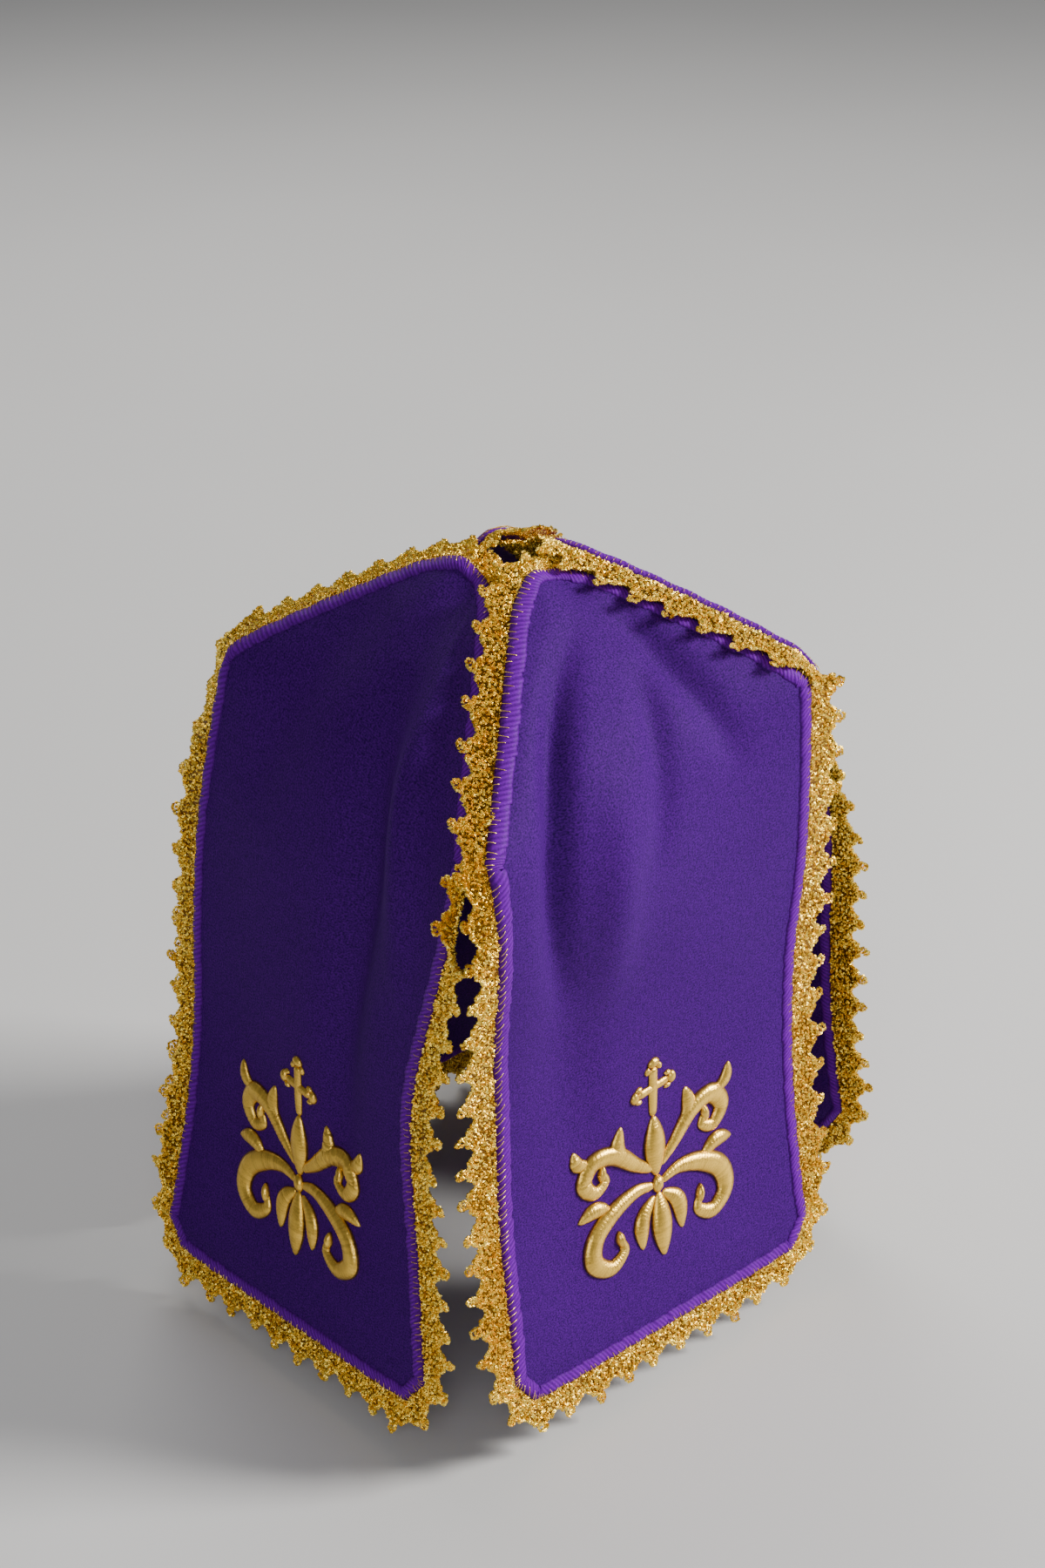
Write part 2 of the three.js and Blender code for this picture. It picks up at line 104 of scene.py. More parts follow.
class Slot(Enum):
    """The names of the veil's materials."""

    CLOTH = "violet_cloth"
    LACE = "gold_lace"
    GOLD_THREAD = "gold_thread"
    VIOLET_THREAD = "violet_thread"


def ease(x: Array) -> Array:
    """A smooth step from 0 to 1."""
    k = np.clip(x, 0, 1)
    return k * k * (3 - 2 * k)


def mix(a: Array, b: Array, share: Array) -> Array:
    """The value a share of the way from a to b."""
    return a + (b - a) * share


def unit(vectors: Array) -> Array:
    """Rows scaled to length 1."""
    return vectors / np.maximum(np.linalg.norm(vectors, axis=-1, keepdims=True), TINY)


class TableCurve:
    """A curve through the points of a short table that keeps its rises and falls."""

    def __init__(self, lengths: list[float], values: list[float]) -> None:
        """Works out the slopes.

        Args:
            lengths: Where the points lie, rising.
            values: The value at each point.
        """
        self.x = np.array(lengths, float)
        self.y = np.array(values, float)
        rise = np.diff(self.y) / np.diff(self.x)
        both = rise[:-1] * rise[1:]
        total = np.where(both > 0, rise[:-1] + rise[1:], 1)
        inner = np.where(both > 0, 2 * both / total, 0)
        self.slope = np.concatenate([rise[:1], inner, rise[-1:]])

    def __call__(self, at: Array) -> Array:
        """Reads the curve.

        Args:
            at: Lengths, held to the table's ends.

        Returns:
            The curve's values there.
        """
        held = np.clip(at, self.x[0], self.x[-1])
        i = np.clip(np.searchsorted(self.x, held) - 1, 0, len(self.x) - 2)
        span = self.x[i + 1] - self.x[i]
        k = (held - self.x[i]) / span
        start = (1 + 2 * k) * (1 - k) ** 2 * self.y[i] + k * (1 - k) ** 2 * span * self.slope[i]
        end = k * k * (3 - 2 * k) * self.y[i + 1] + k * k * (k - 1) * span * self.slope[i + 1]
        return start + end


@dataclass(frozen=True)
class FallRow:
    """Fall below the horizontal, in degrees, down a panel's middle and down its corners."""

    length: float
    middle: float
    corner: float


@dataclass(frozen=True)
class DriftRow:
    """How far a corner hangs out of true at a length: outwards, up and sideways."""

    corner: int
    length: float
    out: float
    up: float
    side: float


@dataclass(frozen=True)
class SideDriftRow:
    """How far a panel's left side hangs clear of its neighbour at a length."""

    length: float
    out: float
    up: float
    right: float


@dataclass(frozen=True)
class Fold:
    """A soft fold on a panel: its run (length, across), half breadth and height, negative for a trough."""

    panel: Side
    start: tuple[float, float]
    bend: tuple[float, float]
    end: tuple[float, float]
    breadth: float
    height: float

    def run(self, steps: int) -> Array:
        """Walks the fold's curved run.

        Args:
            steps: How many steps the run is cut into.

        Returns:
            Its points, a row of length and across each.
        """
        k = np.linspace(0, 1, steps + 1)[:, None]
        start, bend, end = (np.array(p, float) for p in (self.start, self.bend, self.end))
        return (1 - k) ** 2 * start + 2 * k * (1 - k) * bend + k * k * end


FALLS = [
    FallRow(0, 12, 12),
    FallRow(12, 28, 28),
    FallRow(28, 36.5, 36.5),
    FallRow(45, 38.5, 37.5),
    FallRow(58, 55, 37.7),
    FallRow(71, 72, 81),
    FallRow(84, 80, 83),
    FallRow(110, 87, 87),
    FallRow(150, 88.5, 88.5),
    FallRow(190, 83, 83),
    FallRow(245, 82.5, 82.5),
]

CORNER_DRIFTS = [
    DriftRow(0, 64, 7.8, -6.3, 1.1),
    DriftRow(0, 138, -2.7, -9.4, -5.6),
    DriftRow(0, 212, 3.8, 4.7, 0.2),
    DriftRow(1, 64, -2.5, 5, 2.6),
    DriftRow(1, 138, -5.7, -0.5, 14.1),
    DriftRow(1, 212, -7.6, 2.8, -0.8),
    DriftRow(2, 64, 2, -2, -2.5),
    DriftRow(2, 138, -3, -2.5, 5),
    DriftRow(2, 212, 3.5, 1.5, -3.5),
    DriftRow(3, 64, -6.1, 5.4, -1),
    DriftRow(3, 138, 2.6, -1.7, -0.7),
    DriftRow(3, 212, 2.3, 0.2, 16.8),
]

LEFT_SIDE_DRIFTS = {
    Side.RIGHT: [
        SideDriftRow(84, 0, 0, 0),
        SideDriftRow(138, 12, 3, -3),
        SideDriftRow(212, 14, 14, 0),
    ],
}

FOLDS = [
    Fold(Side.FRONT, (22, 12), (46, 17), (78, 29), 4.6, -3.2),
    Fold(Side.FRONT, (24, 2), (58, -46), (116, -26), 4.2, -5.2),
    Fold(Side.FRONT, (64, -31), (108, -29), (180, -20), 9, -2.0),
    Fold(Side.FRONT, (38, 10), (58, 5), (90, -2), 4.4, -2.6),
    Fold(Side.FRONT, (56, -10), (84, -16), (122, -12), 7, 2.6),
    Fold(Side.LEFT, (18, 4), (58, 28), (110, 36), 6, 4.8),
    Fold(Side.LEFT, (38, 2), (84, 20), (168, 17), 7.5, -6),
    Fold(Side.LEFT, (30, -12), (58, -24), (92, -30), 9, -1.8),
    Fold(Side.RIGHT, (24, -8), (60, -24), (118, -30), 8, -3.6),
    Fold(Side.RIGHT, (34, 8), (80, 16), (160, 12), 9, -3.2),
    Fold(Side.RIGHT, (50, 24), (76, 30), (110, 34), 7, 2.4),
    Fold(Side.BACK, (22, 6), (58, 26), (122, 30), 8, -3.8),
    Fold(Side.BACK, (36, -6), (86, -18), (150, -22), 8.5, -3),
    Fold(Side.BACK, (52, 2), (80, 4), (116, 8), 8, 2),
]


class Profile:
    """The line down a panel, walked from the crown."""

    STEP = 1.0
    END = 245.0
    CROWN_HALF = 1.8

    def __init__(self, fall: TableCurve) -> None:
        """Walks down the line.

        Args:
            fall: The fall in degrees at a length.
        """
        self.fall = fall
        middles = np.arange(0, self.END, self.STEP) + self.STEP / 2
        angles = np.radians(fall(middles))
        self.lengths = np.arange(0, self.END + self.STEP / 2, self.STEP)
        self.out = self.CROWN_HALF + np.concatenate([[0], np.cumsum(np.cos(angles)) * self.STEP])
        self.up = -np.concatenate([[0], np.cumsum(np.sin(angles)) * self.STEP])

    def at(self, length: Array) -> tuple[Array, Array, Array]:
        """Reads the line.

        Args:
            length: Lengths from the crown.

        Returns:
            How far out and up the cloth is there, and its fall in radians.
        """
        out = np.interp(length, self.lengths, self.out)
        up = np.interp(length, self.lengths, self.up)
        return out, up, np.radians(self.fall(length))


@dataclass
class Cut:
    """The flat pattern of one panel. Lengths run from the crown along its middle line."""

    corner_line: Profile
    tip_start: float = 10
    tip_round: float = 9
    tip_flat_share: float = 0.4
    ridge_inset: float = 4.5
    shoulder: float = 64
    lower_corner: float = 212
    hem: float = 219
    hem_corner_cut: float = 6
    side_lengths: tuple[float, ...] = (64, 104, 138, 172, 202, 212)
    side_halves: tuple[float, ...] = (50.5, 49.5, 47.2, 48.6, 50.9, 52.2)
    area_samples: int = 800

    def __post_init__(self) -> None:
        """Makes the curve of the sides."""
        self.side_curve = TableCurve(list(self.side_lengths), list(self.side_halves))

    @property
    def width(self) -> float:
        """The widest part of the cut, at its lower corners."""
        return 2 * max(self.side_halves)

    @property
    def length(self) -> float:
        """The cut's length from its tip to its hem."""
        return self.hem - self.tip_start

    def half(self, length: Array) -> Array:
        """Half width of the cloth: round tip, ridge edge, side, then the cut corner at the hem.

        Args:
            length: Lengths from the crown.

        Returns:
            Half the width there.
        """
        cut = np.clip((length - self.lower_corner) / (self.hem - self.lower_corner), 0, 1)
        side = self.side_curve(length) - self.hem_corner_cut * cut
        ridge_edge = self.corner_line.at(length)[0] - self.ridge_inset
        left = 1 - np.clip((length - self.tip_start) / self.tip_round, 0, 1)
        rounding = self.tip_flat_share + (1 - self.tip_flat_share) * np.sqrt(1 - left * left)
        return np.where(length >= self.shoulder, side, ridge_edge * rounding)

    def area(self) -> float:
        """Flat area of the cut, in square millimetres."""
        lengths = np.linspace(self.tip_start, self.hem, self.area_samples)
        return float(2 * self.half(lengths).mean() * self.length)


@dataclass
class Drape:
    """The hung shape of the veil, shared by every piece."""

    crisp_start: float = 0.45
    crisp_end: float = 0.95
    ridge_radius: float = 10
    ridge_bend_end: float = 72
    ridge_bend_fade: float = 30
    over_turn: float = 0.45
    close_turn: float = 1.0
    flare_bend_end: float = 53
    flare_bend_fade: float = 13
    lap_lift: float = 1.3
    lap_full_share: float = 0.4
    lap_end: float = 84
    lap_fade: float = 40
    fold_steps: int = 60
    fold_edge_fade: float = 12
    pucker_pitch: float = 7.4
    pucker_height: float = 0.16
    pucker_reach: float = 5.5
    pucker_wander: float = 0.8
    pucker_wander_length: float = 23
    phase_step: float = 1.7
    sway_height: float = 0.15
    sway_down: tuple[float, float] = (9.5, 17)
    sway_aside: tuple[float, float] = (14, 8.2)
    sway_inset: float = 20

    def __post_init__(self) -> None:
        """Makes the profiles, the cut and the drift curves from the tables."""
        lengths = [row.length for row in FALLS]
        self.middle = Profile(TableCurve(lengths, [row.middle for row in FALLS]))
        self.corner = Profile(TableCurve(lengths, [row.corner for row in FALLS]))
        self.cut = Cut(self.corner)
        self.corner_drifts = [self._corner_drift(corner) for corner in range(len(Side))]
        self.side_drifts = {side: self._side_drift(rows) for side, rows in LEFT_SIDE_DRIFTS.items()}
        self.runs = [(fold, fold.run(self.fold_steps)) for fold in FOLDS]

    @staticmethod
    def _corner_drift(corner: int) -> list[TableCurve]:
        """Makes the curves of a corner's drift: nothing at the crown, then the rows of its table.

        Args:
            corner: The corner's number.

        Returns:
            Curves of its drift outwards, up and sideways.
        """
        rows = [row for row in CORNER_DRIFTS if row.corner == corner]
        lengths = [0.0] + [row.length for row in rows]
        columns = zip(*[(row.out, row.up, row.side) for row in rows])
        return [TableCurve(lengths, [0.0, *column]) for column in columns]

    @staticmethod
    def _side_drift(rows: list[SideDriftRow]) -> list[TableCurve]:
        """Makes the curves of the drift of a panel's left side.

        Args:
            rows: The rows of its table.

        Returns:
            Curves of its drift outwards, up and to the right.
        """
        lengths = [row.length for row in rows]
        columns = zip(*[(row.out, row.up, row.right) for row in rows])
        return [TableCurve(lengths, list(column)) for column in columns]

    def _fold_height(self, side: Side, length: Array, across: Array) -> Array:
        """Height of the folds, which die out at their ends and at the cloth's edge.

        Args:
            side: The panel.
            length: Lengths from the crown.
            across: Distances to the right of the panel's middle line.

        Returns:
            Heights above the smooth cloth.
        """
        height = np.zeros_like(length)
        for fold, run in self.runs:
            if fold.panel is not side:
                continue
            away = np.hypot(length[:, None] - run[None, :, 0], across[:, None] - run[None, :, 1])
            nearest = away.argmin(1)
            spread = np.exp(-((away.min(1) / fold.breadth) ** 2))
            height += fold.height * spread * np.sin(np.pi * nearest / self.fold_steps)
        return height * ease((self.cut.half(length) - np.abs(across)) / self.fold_edge_fade)

    def _lap_lift(self, length: Array, across: Array, ridge: Array) -> Array:
        """Lift along the roof ridges: each panel's left border over, its right border under.

        Args:
            length: Lengths from the crown.
            across: Distances to the right of the panel's middle line.
            ridge: Distances from the middle line to the ridge.

        Returns:
            Lifts, negative to the right of the middle line.
        """
        share = np.clip(across / (ridge * self.lap_full_share), -1, 1)
        fade = 1 - ease((length - self.lap_end) / self.lap_fade)
        return -self.lap_lift * np.sin(share * np.pi / 2) * fade

    def _unevenness(self, side: Side, length: Array, across: Array) -> Array:
        """Small puckers along the sewn edge and a slight sway of the cloth.

        Args:
            side: The panel.
            length: Lengths from the crown.
            across: Distances to the right of the panel's middle line.

        Returns:
            Heights above the smooth cloth.
        """
        from_side = self.cut.half(length) - np.abs(across)
        from_hem = self.cut.hem - length
        inside = np.minimum(from_side, from_hem)
        along = np.where(from_hem < from_side, across, length)
        own = side.value * self.phase_step
        turn = own + np.sign(across)
        wander = self.pucker_wander * np.sin(along / self.pucker_wander_length + turn)
        pucker = np.sin(2 * np.pi * along / self.pucker_pitch + turn + wander)
        pucker = pucker * np.exp(-((inside / self.pucker_reach) ** 2)) * self.pucker_height
        sway = np.sin(length / self.sway_down[0] + across / self.sway_aside[0] + own)
        sway = sway + np.sin(across / self.sway_aside[1] - length / self.sway_down[1] + 2 * own)
        return pucker + self.sway_height * sway * ease(inside / self.sway_inset)

    def _drifted(self, points: Array, side: Side, length: Array, across: Array, ridge: Array) -> Array:
        """Moves hung points with the corners, and with a side that hangs clear of its neighbour.

        Args:
            points: The points, in millimetres.
            side: The panel.
            length: Lengths from the crown.
            across: Distances to the right of the panel's middle line.
            ridge: Distances from the middle line to the ridge.

        Returns:
            The moved points.
        """
        points = points.copy()
        place = side.value + 0.5 + across / ridge / 2
        for corner, curves in enumerate(self.corner_drifts):
            gap = np.abs(np.mod(place - corner + 2, len(Side)) - 2)
            weight = np.maximum(1 - gap, 0)
            drift_out, drift_up, drift_side = (curve(length) * weight for curve in curves)
            bearing = (corner - 0.5) * math.tau / len(Side)
            points[:, 0] += drift_out * math.sin(bearing) + drift_side * math.cos(bearing)
            points[:, 1] += -drift_out * math.cos(bearing) + drift_side * math.sin(bearing)
            points[:, 2] += drift_up
        if side in self.side_drifts:
            weight = ease(np.abs(across) / ridge) * (across < 0)
            own_out, own_up, own_right = (curve(length) * weight for curve in self.side_drifts[side])
            level = own_out[:, None] * side.outward + own_right[:, None] * side.sideways
            points += level + own_up[:, None] * UP
        return points

    def hang(self, side: Side, length: Array, across: Array) -> Array:
        """Lays flat points of a panel on the hung veil.

        Args:
            side: The panel.
            length: Lengths from the crown.
            across: Distances to the right of the panel's middle line.

        Returns:
            The points, in millimetres, a row each.
        """
        middle_out, middle_up, middle_fall = self.middle.at(length)
        corner_out, corner_up, corner_fall = self.corner.at(length)
        span = self.crisp_end - self.crisp_start
        crisp = ease((np.abs(across) / corner_out - self.crisp_start) / span)
        out = mix(middle_out, corner_out, crisp)
        up = mix(middle_up, corner_up, crisp)
        fall = mix(middle_fall, corner_fall, crisp)

        flared = (across > 0) & (side is Side.FRONT)
        bend_end = np.where(flared, self.flare_bend_end, self.ridge_bend_end)
        bend_fade = np.where(flared, self.flare_bend_fade, self.ridge_bend_fade)
        bend = self.ridge_radius * (1 - ease((length - bend_end) / bend_fade))
        bend = np.minimum(bend, corner_out)
        straight = corner_out - bend
        beyond = np.maximum(np.abs(across) - straight, 0)
        sign = np.sign(across)
        over = self.close_turn if side is Side.RIGHT else self.over_turn
        limit = np.where(sign < 0, over, np.pi / 2)
        turn = np.where(bend > 0, np.minimum(beyond / np.maximum(bend, TINY), limit), 0)
        past = beyond - turn * bend
        x = sign * (np.minimum(np.abs(across), straight) + bend * np.sin(turn) + past * np.cos(turn))
        y = out - bend * (1 - np.cos(turn)) - past * np.sin(turn)

        points = y[:, None] * side.outward + x[:, None] * side.sideways + up[:, None] * UP
        normals = (np.sin(fall) * np.cos(turn))[:, None] * side.outward + np.cos(fall)[:, None] * UP
        normals = normals + (sign * np.sin(fall) * np.sin(turn))[:, None] * side.sideways

        ridge = straight + bend * np.pi / 4
        points = self._drifted(points, side, length, across, ridge)
        height = self._fold_height(side, length, across) + self._lap_lift(length, across, ridge)
        height = height + self._unevenness(side, length, across)
        return points + height[:, None] * normals

    def surface(self, side: Side, length: Array, across: Array) -> tuple[Array, Array]:
        """Points of a panel with the true outward normals there.

        Args:
            side: The panel.
            length: Lengths from the crown.
            across: Distances to the right of the panel's middle line.

        Returns:
            The points and the unit normals.
        """
        step = 0.4
        points = self.hang(side, length, across)
        down = self.hang(side, length + step, across) - self.hang(side, length - step, across)
        right = self.hang(side, length, across + step) - self.hang(side, length, across - step)
        return points, unit(np.cross(down, right))


@dataclass
class Outline:
    """The cloth's edge, walked once round: down the left, along the hem, up the right, over the tip."""

    cut: Cut
    step: float = 0.5
    smoothing: int = 4
    border_line: float = 5

    def __post_init__(self) -> None:
        """Samples the edge, its outward direction and the way round it."""
        cut = self.cut
        down = np.arange(cut.tip_start, cut.hem, self.step)
        hem_half = float(cut.half(np.array([cut.hem]))[0])
        hem = np.arange(-hem_half, hem_half, self.step)
        up = np.arange(cut.hem, cut.tip_start, -self.step)
        tip_half = float(cut.half(np.array([cut.tip_start]))[0])
        tip = np.arange(tip_half, -tip_half, -self.step)
        lengths = [down, np.full_like(hem, cut.hem), up, np.full_like(tip, cut.tip_start)]
        length = np.concatenate(lengths)
        across = np.concatenate([-cut.half(down), hem, cut.half(up), tip])
        ahead = np.roll(length, -self.smoothing) - np.roll(length, self.smoothing)
        aside = np.roll(across, -self.smoothing) - np.roll(across, self.smoothing)
        angle = np.arctan2(-ahead, aside) + np.pi / 2
        self.length = np.append(length, length[0])
        self.across = np.append(across, across[0])
        self.angle = np.unwrap(np.append(angle, angle[0]))
        line_length = self.length + self.border_line * np.sin(self.angle)
        line_across = self.across - self.border_line * np.cos(self.angle)
        steps = np.hypot(np.diff(line_length), np.diff(line_across))
        self.round = np.concatenate([[0], np.cumsum(steps)])

    @property
    def total(self) -> float:
        """The whole way round."""
        return float(self.round[-1])

    def at(self, way: Array) -> tuple[Array, Array, Array]:
        """Reads the edge.

        Args:
            way: Ways round the edge, which may pass its end.

        Returns:
            Length, across and outward angle there.
        """
        way = np.mod(way, self.total)
        columns = (self.length, self.across, self.angle)
        return tuple(np.interp(way, self.round, column) for column in columns)


@dataclass
class Border:
    """Places beside a panel's edge: a way round it and a distance outside it, negative on the cloth."""

    drape: Drape
    curl_side: Side = Side.LEFT
    curl_from: float = 48
    curl_to: float = 88
    curl_turn: float = 2.9
    curl_start: float = 0.8
    curl_radius: float = 1.0
    least_bow: float = 0.001
    ruffle: float = 0.8
    ruffle_from: float = 84
    ruffle_fade: float = 30
    ruffle_start: float = 2
    ruffle_reach: float = 9
    ruffle_long: float = 43
    ruffle_short: float = 17.3
    ruffle_short_share: float = 0.6
    share_lengths: tuple[float, ...] = (0, 34, 64, 96, 130, 200, 214, 219)
    shares: tuple[float, ...] = (0.5, 0.66, 0.68, 0.74, 1, 1, 0.7, 0.88)
    flare_lengths: tuple[float, ...] = (0, 34, 56, 67, 130, 200, 214, 219)
    flare_shares: tuple[float, ...] = (0.5, 0.66, 0.72, 1, 1, 1, 0.7, 0.88)
    close_lengths: tuple[float, ...] = (0, 34, 58, 70, 100, 130, 200, 214, 219)
    close_shares: tuple[float, ...] = (0.5, 0.8, 0.8, 0.5, 0.6, 1, 1, 0.7, 0.88)

    def __post_init__(self) -> None:
        """Samples the edge and makes the curves of the lace's width."""
        self.outline = Outline(self.drape.cut)
        self.share = TableCurve(list(self.share_lengths), list(self.shares))
        self.flare_share = TableCurve(list(self.flare_lengths), list(self.flare_shares))
        self.close_share = TableCurve(list(self.close_lengths), list(self.close_shares))

    def width_share(self, side: Side, length: Array, across: Array) -> Array:
        """The lace's width there as a share of its full width.

        Args:
            side: The panel.
            length: Lengths from the crown.
            across: Distances to the right of the panel's middle line.

        Returns:
            Shares, of 1 at most.
        """
        share = self.share(length)
        if side is Side.FRONT:
            share = np.where(across > 0, self.flare_share(length), share)
        if side is Side.RIGHT:
            share = np.where(across < 0, self.close_share(length), share)
        if side is Side.LEFT:
            share = np.where(across < 0, self.flare_share(length), share)
        return share

    def _lay(self, side: Side, edge: tuple[Array, Array, Array], beside: Array) -> Array:
        """Lays points beside the edge, flat with the cloth.

        Args:
            side: The panel.
            edge: Length, across and outward angle of the edge.
            beside: Distances outside the edge.

        Returns:
            The points, in millimetres.
        """
        length, across, angle = edge
        return self.drape.hang(side, length + beside * np.sin(angle), across - beside * np.cos(angle))

    def _curl(self, side: Side, edge: tuple[Array, Array, Array], distance: Array, along: Array) -> Array:
        """Lays points on an arc that leaves the veil and turns outwards.

        Args:
            side: The panel.
            edge: Length, across and outward angle of the edge.
            distance: Distances outside the edge.
            along: How far along the curled stretch they are, from 0 to 1.

        Returns:
            The points, in millimetres.
        """
        bow = np.maximum(np.sin(np.pi * np.clip(along, 0, 1)), self.least_bow)
        radius = self.curl_radius / bow
        beyond = np.maximum(distance - self.curl_start, 0)
        turn = np.minimum(beyond / radius, self.curl_turn * bow)
        past = beyond - turn * radius
        root = self._lay(side, edge, np.full_like(distance, self.curl_start))
        away = unit(root - self._lay(side, edge, np.full_like(distance, -self.curl_start)))
        normal = unit(np.cross(-UP, away))
        ahead = np.sin(turn) * radius + past * np.cos(turn)
        lifted = (1 - np.cos(turn)) * radius + past * np.sin(turn)
        return root + ahead[:, None] * away + lifted[:, None] * normal

    def place(self, side: Side, way: Array, distance: Array) -> Array:
        """Lays points beside the edge on the hung veil; one stretch of lace leaves it on an arc.

        Args:
            side: The panel.
            way: Ways round the edge.
            distance: Distances outside the edge.

        Returns:
            The points, in millimetres.
        """
        edge = self.outline.at(way)
        length, across, _ = edge
        share = self.width_share(side, length, across)
        distance = np.where(distance > 0, distance * share, distance)
        wave = np.sin(math.tau * way / self.ruffle_long + side.value)
        short_wave = np.sin(math.tau * way / self.ruffle_short + 2 * side.value)
        wave = wave + self.ruffle_short_share * short_wave
        reach = np.clip((distance - self.ruffle_start) / self.ruffle_reach, 0, 1) ** 2
        free = ease((length - self.ruffle_from) / self.ruffle_fade) * reach
        points = self._lay(side, edge, distance) + (self.ruffle * wave * free)[:, None] * side.outward
        along = (length - self.curl_from) / (self.curl_to - self.curl_from)
        curled = (along > 0) & (along < 1) & (across > 0) & (distance > self.curl_start)
        if side is not self.curl_side or not curled.any():
            return points
        return np.where(curled[:, None], self._curl(side, edge, distance, along), points)

    def frames(self, side: Side, way: Array, distance: Array) -> tuple[Array, Array, Array, Array]:
        """Points beside the edge with the directions there.

        Args:
            side: The panel.
            way: Ways round the edge.
            distance: Distances outside the edge.

        Returns:
            The points, and unit vectors along the edge, away from it and out of the surface.
        """
        step = 0.3
        points = self.place(side, way, distance)
        along = unit(self.place(side, way + step, distance) - self.place(side, way - step, distance))
        away = unit(self.place(side, way, distance + step) - self.place(side, way, distance - step))
        normal = unit(np.cross(away, along))
        return points, along, unit(np.cross(along, normal)), normal


@dataclass
class MeshParts:
    """Points, faces and point values gathered for one mesh."""

    points: list[Array] = field(default_factory=list)
    faces: list[Array] = field(default_factory=list)
    values: list[Array] = field(default_factory=list)
    flats: list[Array] = field(default_factory=list)
    count: int = 0

    def add(
        self, points: Array, faces: Array, value: Array | float = 1.0, flat: Array | None = None
    ) -> None:
        """Adds a patch.

        Args:
            points: Its points, in millimetres.
            faces: Its faces, as point numbers, three or four in a row.
            value: The shade of each point, or one for all.
            flat: The flat place of each point, in millimetres.
        """
        self.points.append(points)
        self.faces.append(np.asarray(faces, int) + self.count)
        self.values.append(np.broadcast_to(value, len(points)).astype(float))
        self.flats.append(np.zeros((len(points), 2)) if flat is None else flat)
        self.count += len(points)

    def add_faces(self, faces: Array) -> None:
        """Adds faces between points that are in already."""
        self.faces.append(faces)

    def make(self, name: str) -> bpy.types.Object:
        """Makes the object.

        Args:
            name: Its name.

        Returns:
            The object, linked to the scene, with smooth faces, a shade attribute and a flat UV map.
        """
        mesh = bpy.data.meshes.new(name)
        points = np.concatenate(self.points) * MM
        corners = np.concatenate([faces.ravel() for faces in self.faces]).astype(np.int32)
        counts = [np.full(len(faces), faces.shape[1]) for faces in self.faces]
        sizes = np.concatenate(counts).astype(np.int32)
        starts = np.concatenate([[0], np.cumsum(sizes)[:-1]]).astype(np.int32)
        mesh.vertices.add(len(points))
        mesh.vertices.foreach_set("co", points.astype(np.float32).ravel())
        mesh.loops.add(len(corners))
        mesh.loops.foreach_set("vertex_index", corners)
        mesh.polygons.add(len(sizes))
        mesh.polygons.foreach_set("loop_start", starts)
        mesh.polygons.foreach_set("loop_total", sizes)
        mesh.polygons.foreach_set("use_smooth", np.ones(len(sizes), bool))
        mesh.update(calc_edges=True)
        shade = mesh.attributes.new("shade", "FLOAT", "POINT")
        shade.data.foreach_set("value", np.concatenate(self.values).astype(np.float32))
        flat_map = mesh.uv_layers.new(name="flat")
        flat = np.concatenate(self.flats) * MM
        flat_map.data.foreach_set("uv", flat[corners].astype(np.float32).ravel())
        mesh.validate()
        piece = bpy.data.objects.new(name, mesh)
        bpy.context.scene.collection.objects.link(piece)
        return piece


def strip_faces(rows: int, columns: int, close_rows: bool, close_columns: bool) -> Array:
    """Quads of a grid of points, row by row.

    Args:
        rows: Number of rows.
        columns: Number of points in a row.
        close_rows: Whether the last row meets the first.
        close_columns: Whether each row's last point meets its first.

    Returns:
        The quads' point numbers.
    """
    row = np.arange(rows if close_rows else rows - 1)[:, None]
    column = np.arange(columns if close_columns else columns - 1)[None, :]
    next_row = (row + 1) % rows
    next_column = (column + 1) % columns
    a = row * columns + column
    b = next_row * columns + column
    c = next_row * columns + next_column
    d = row * columns + next_column
    return np.stack([a, b, c, d], -1).reshape(-1, 4)


def fit(piece: bpy.types.Object, finish: bpy.types.Material, node: str | None = None) -> None:
    """Gives a piece its finish and its place in the frame.

    Args:
        piece: The piece.
        finish: Its material.
        node: The frame's node that the piece stands for, if any.
    """
    piece.data.materials.append(finish)
    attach(piece, BODY)
    if node:
        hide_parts(node)


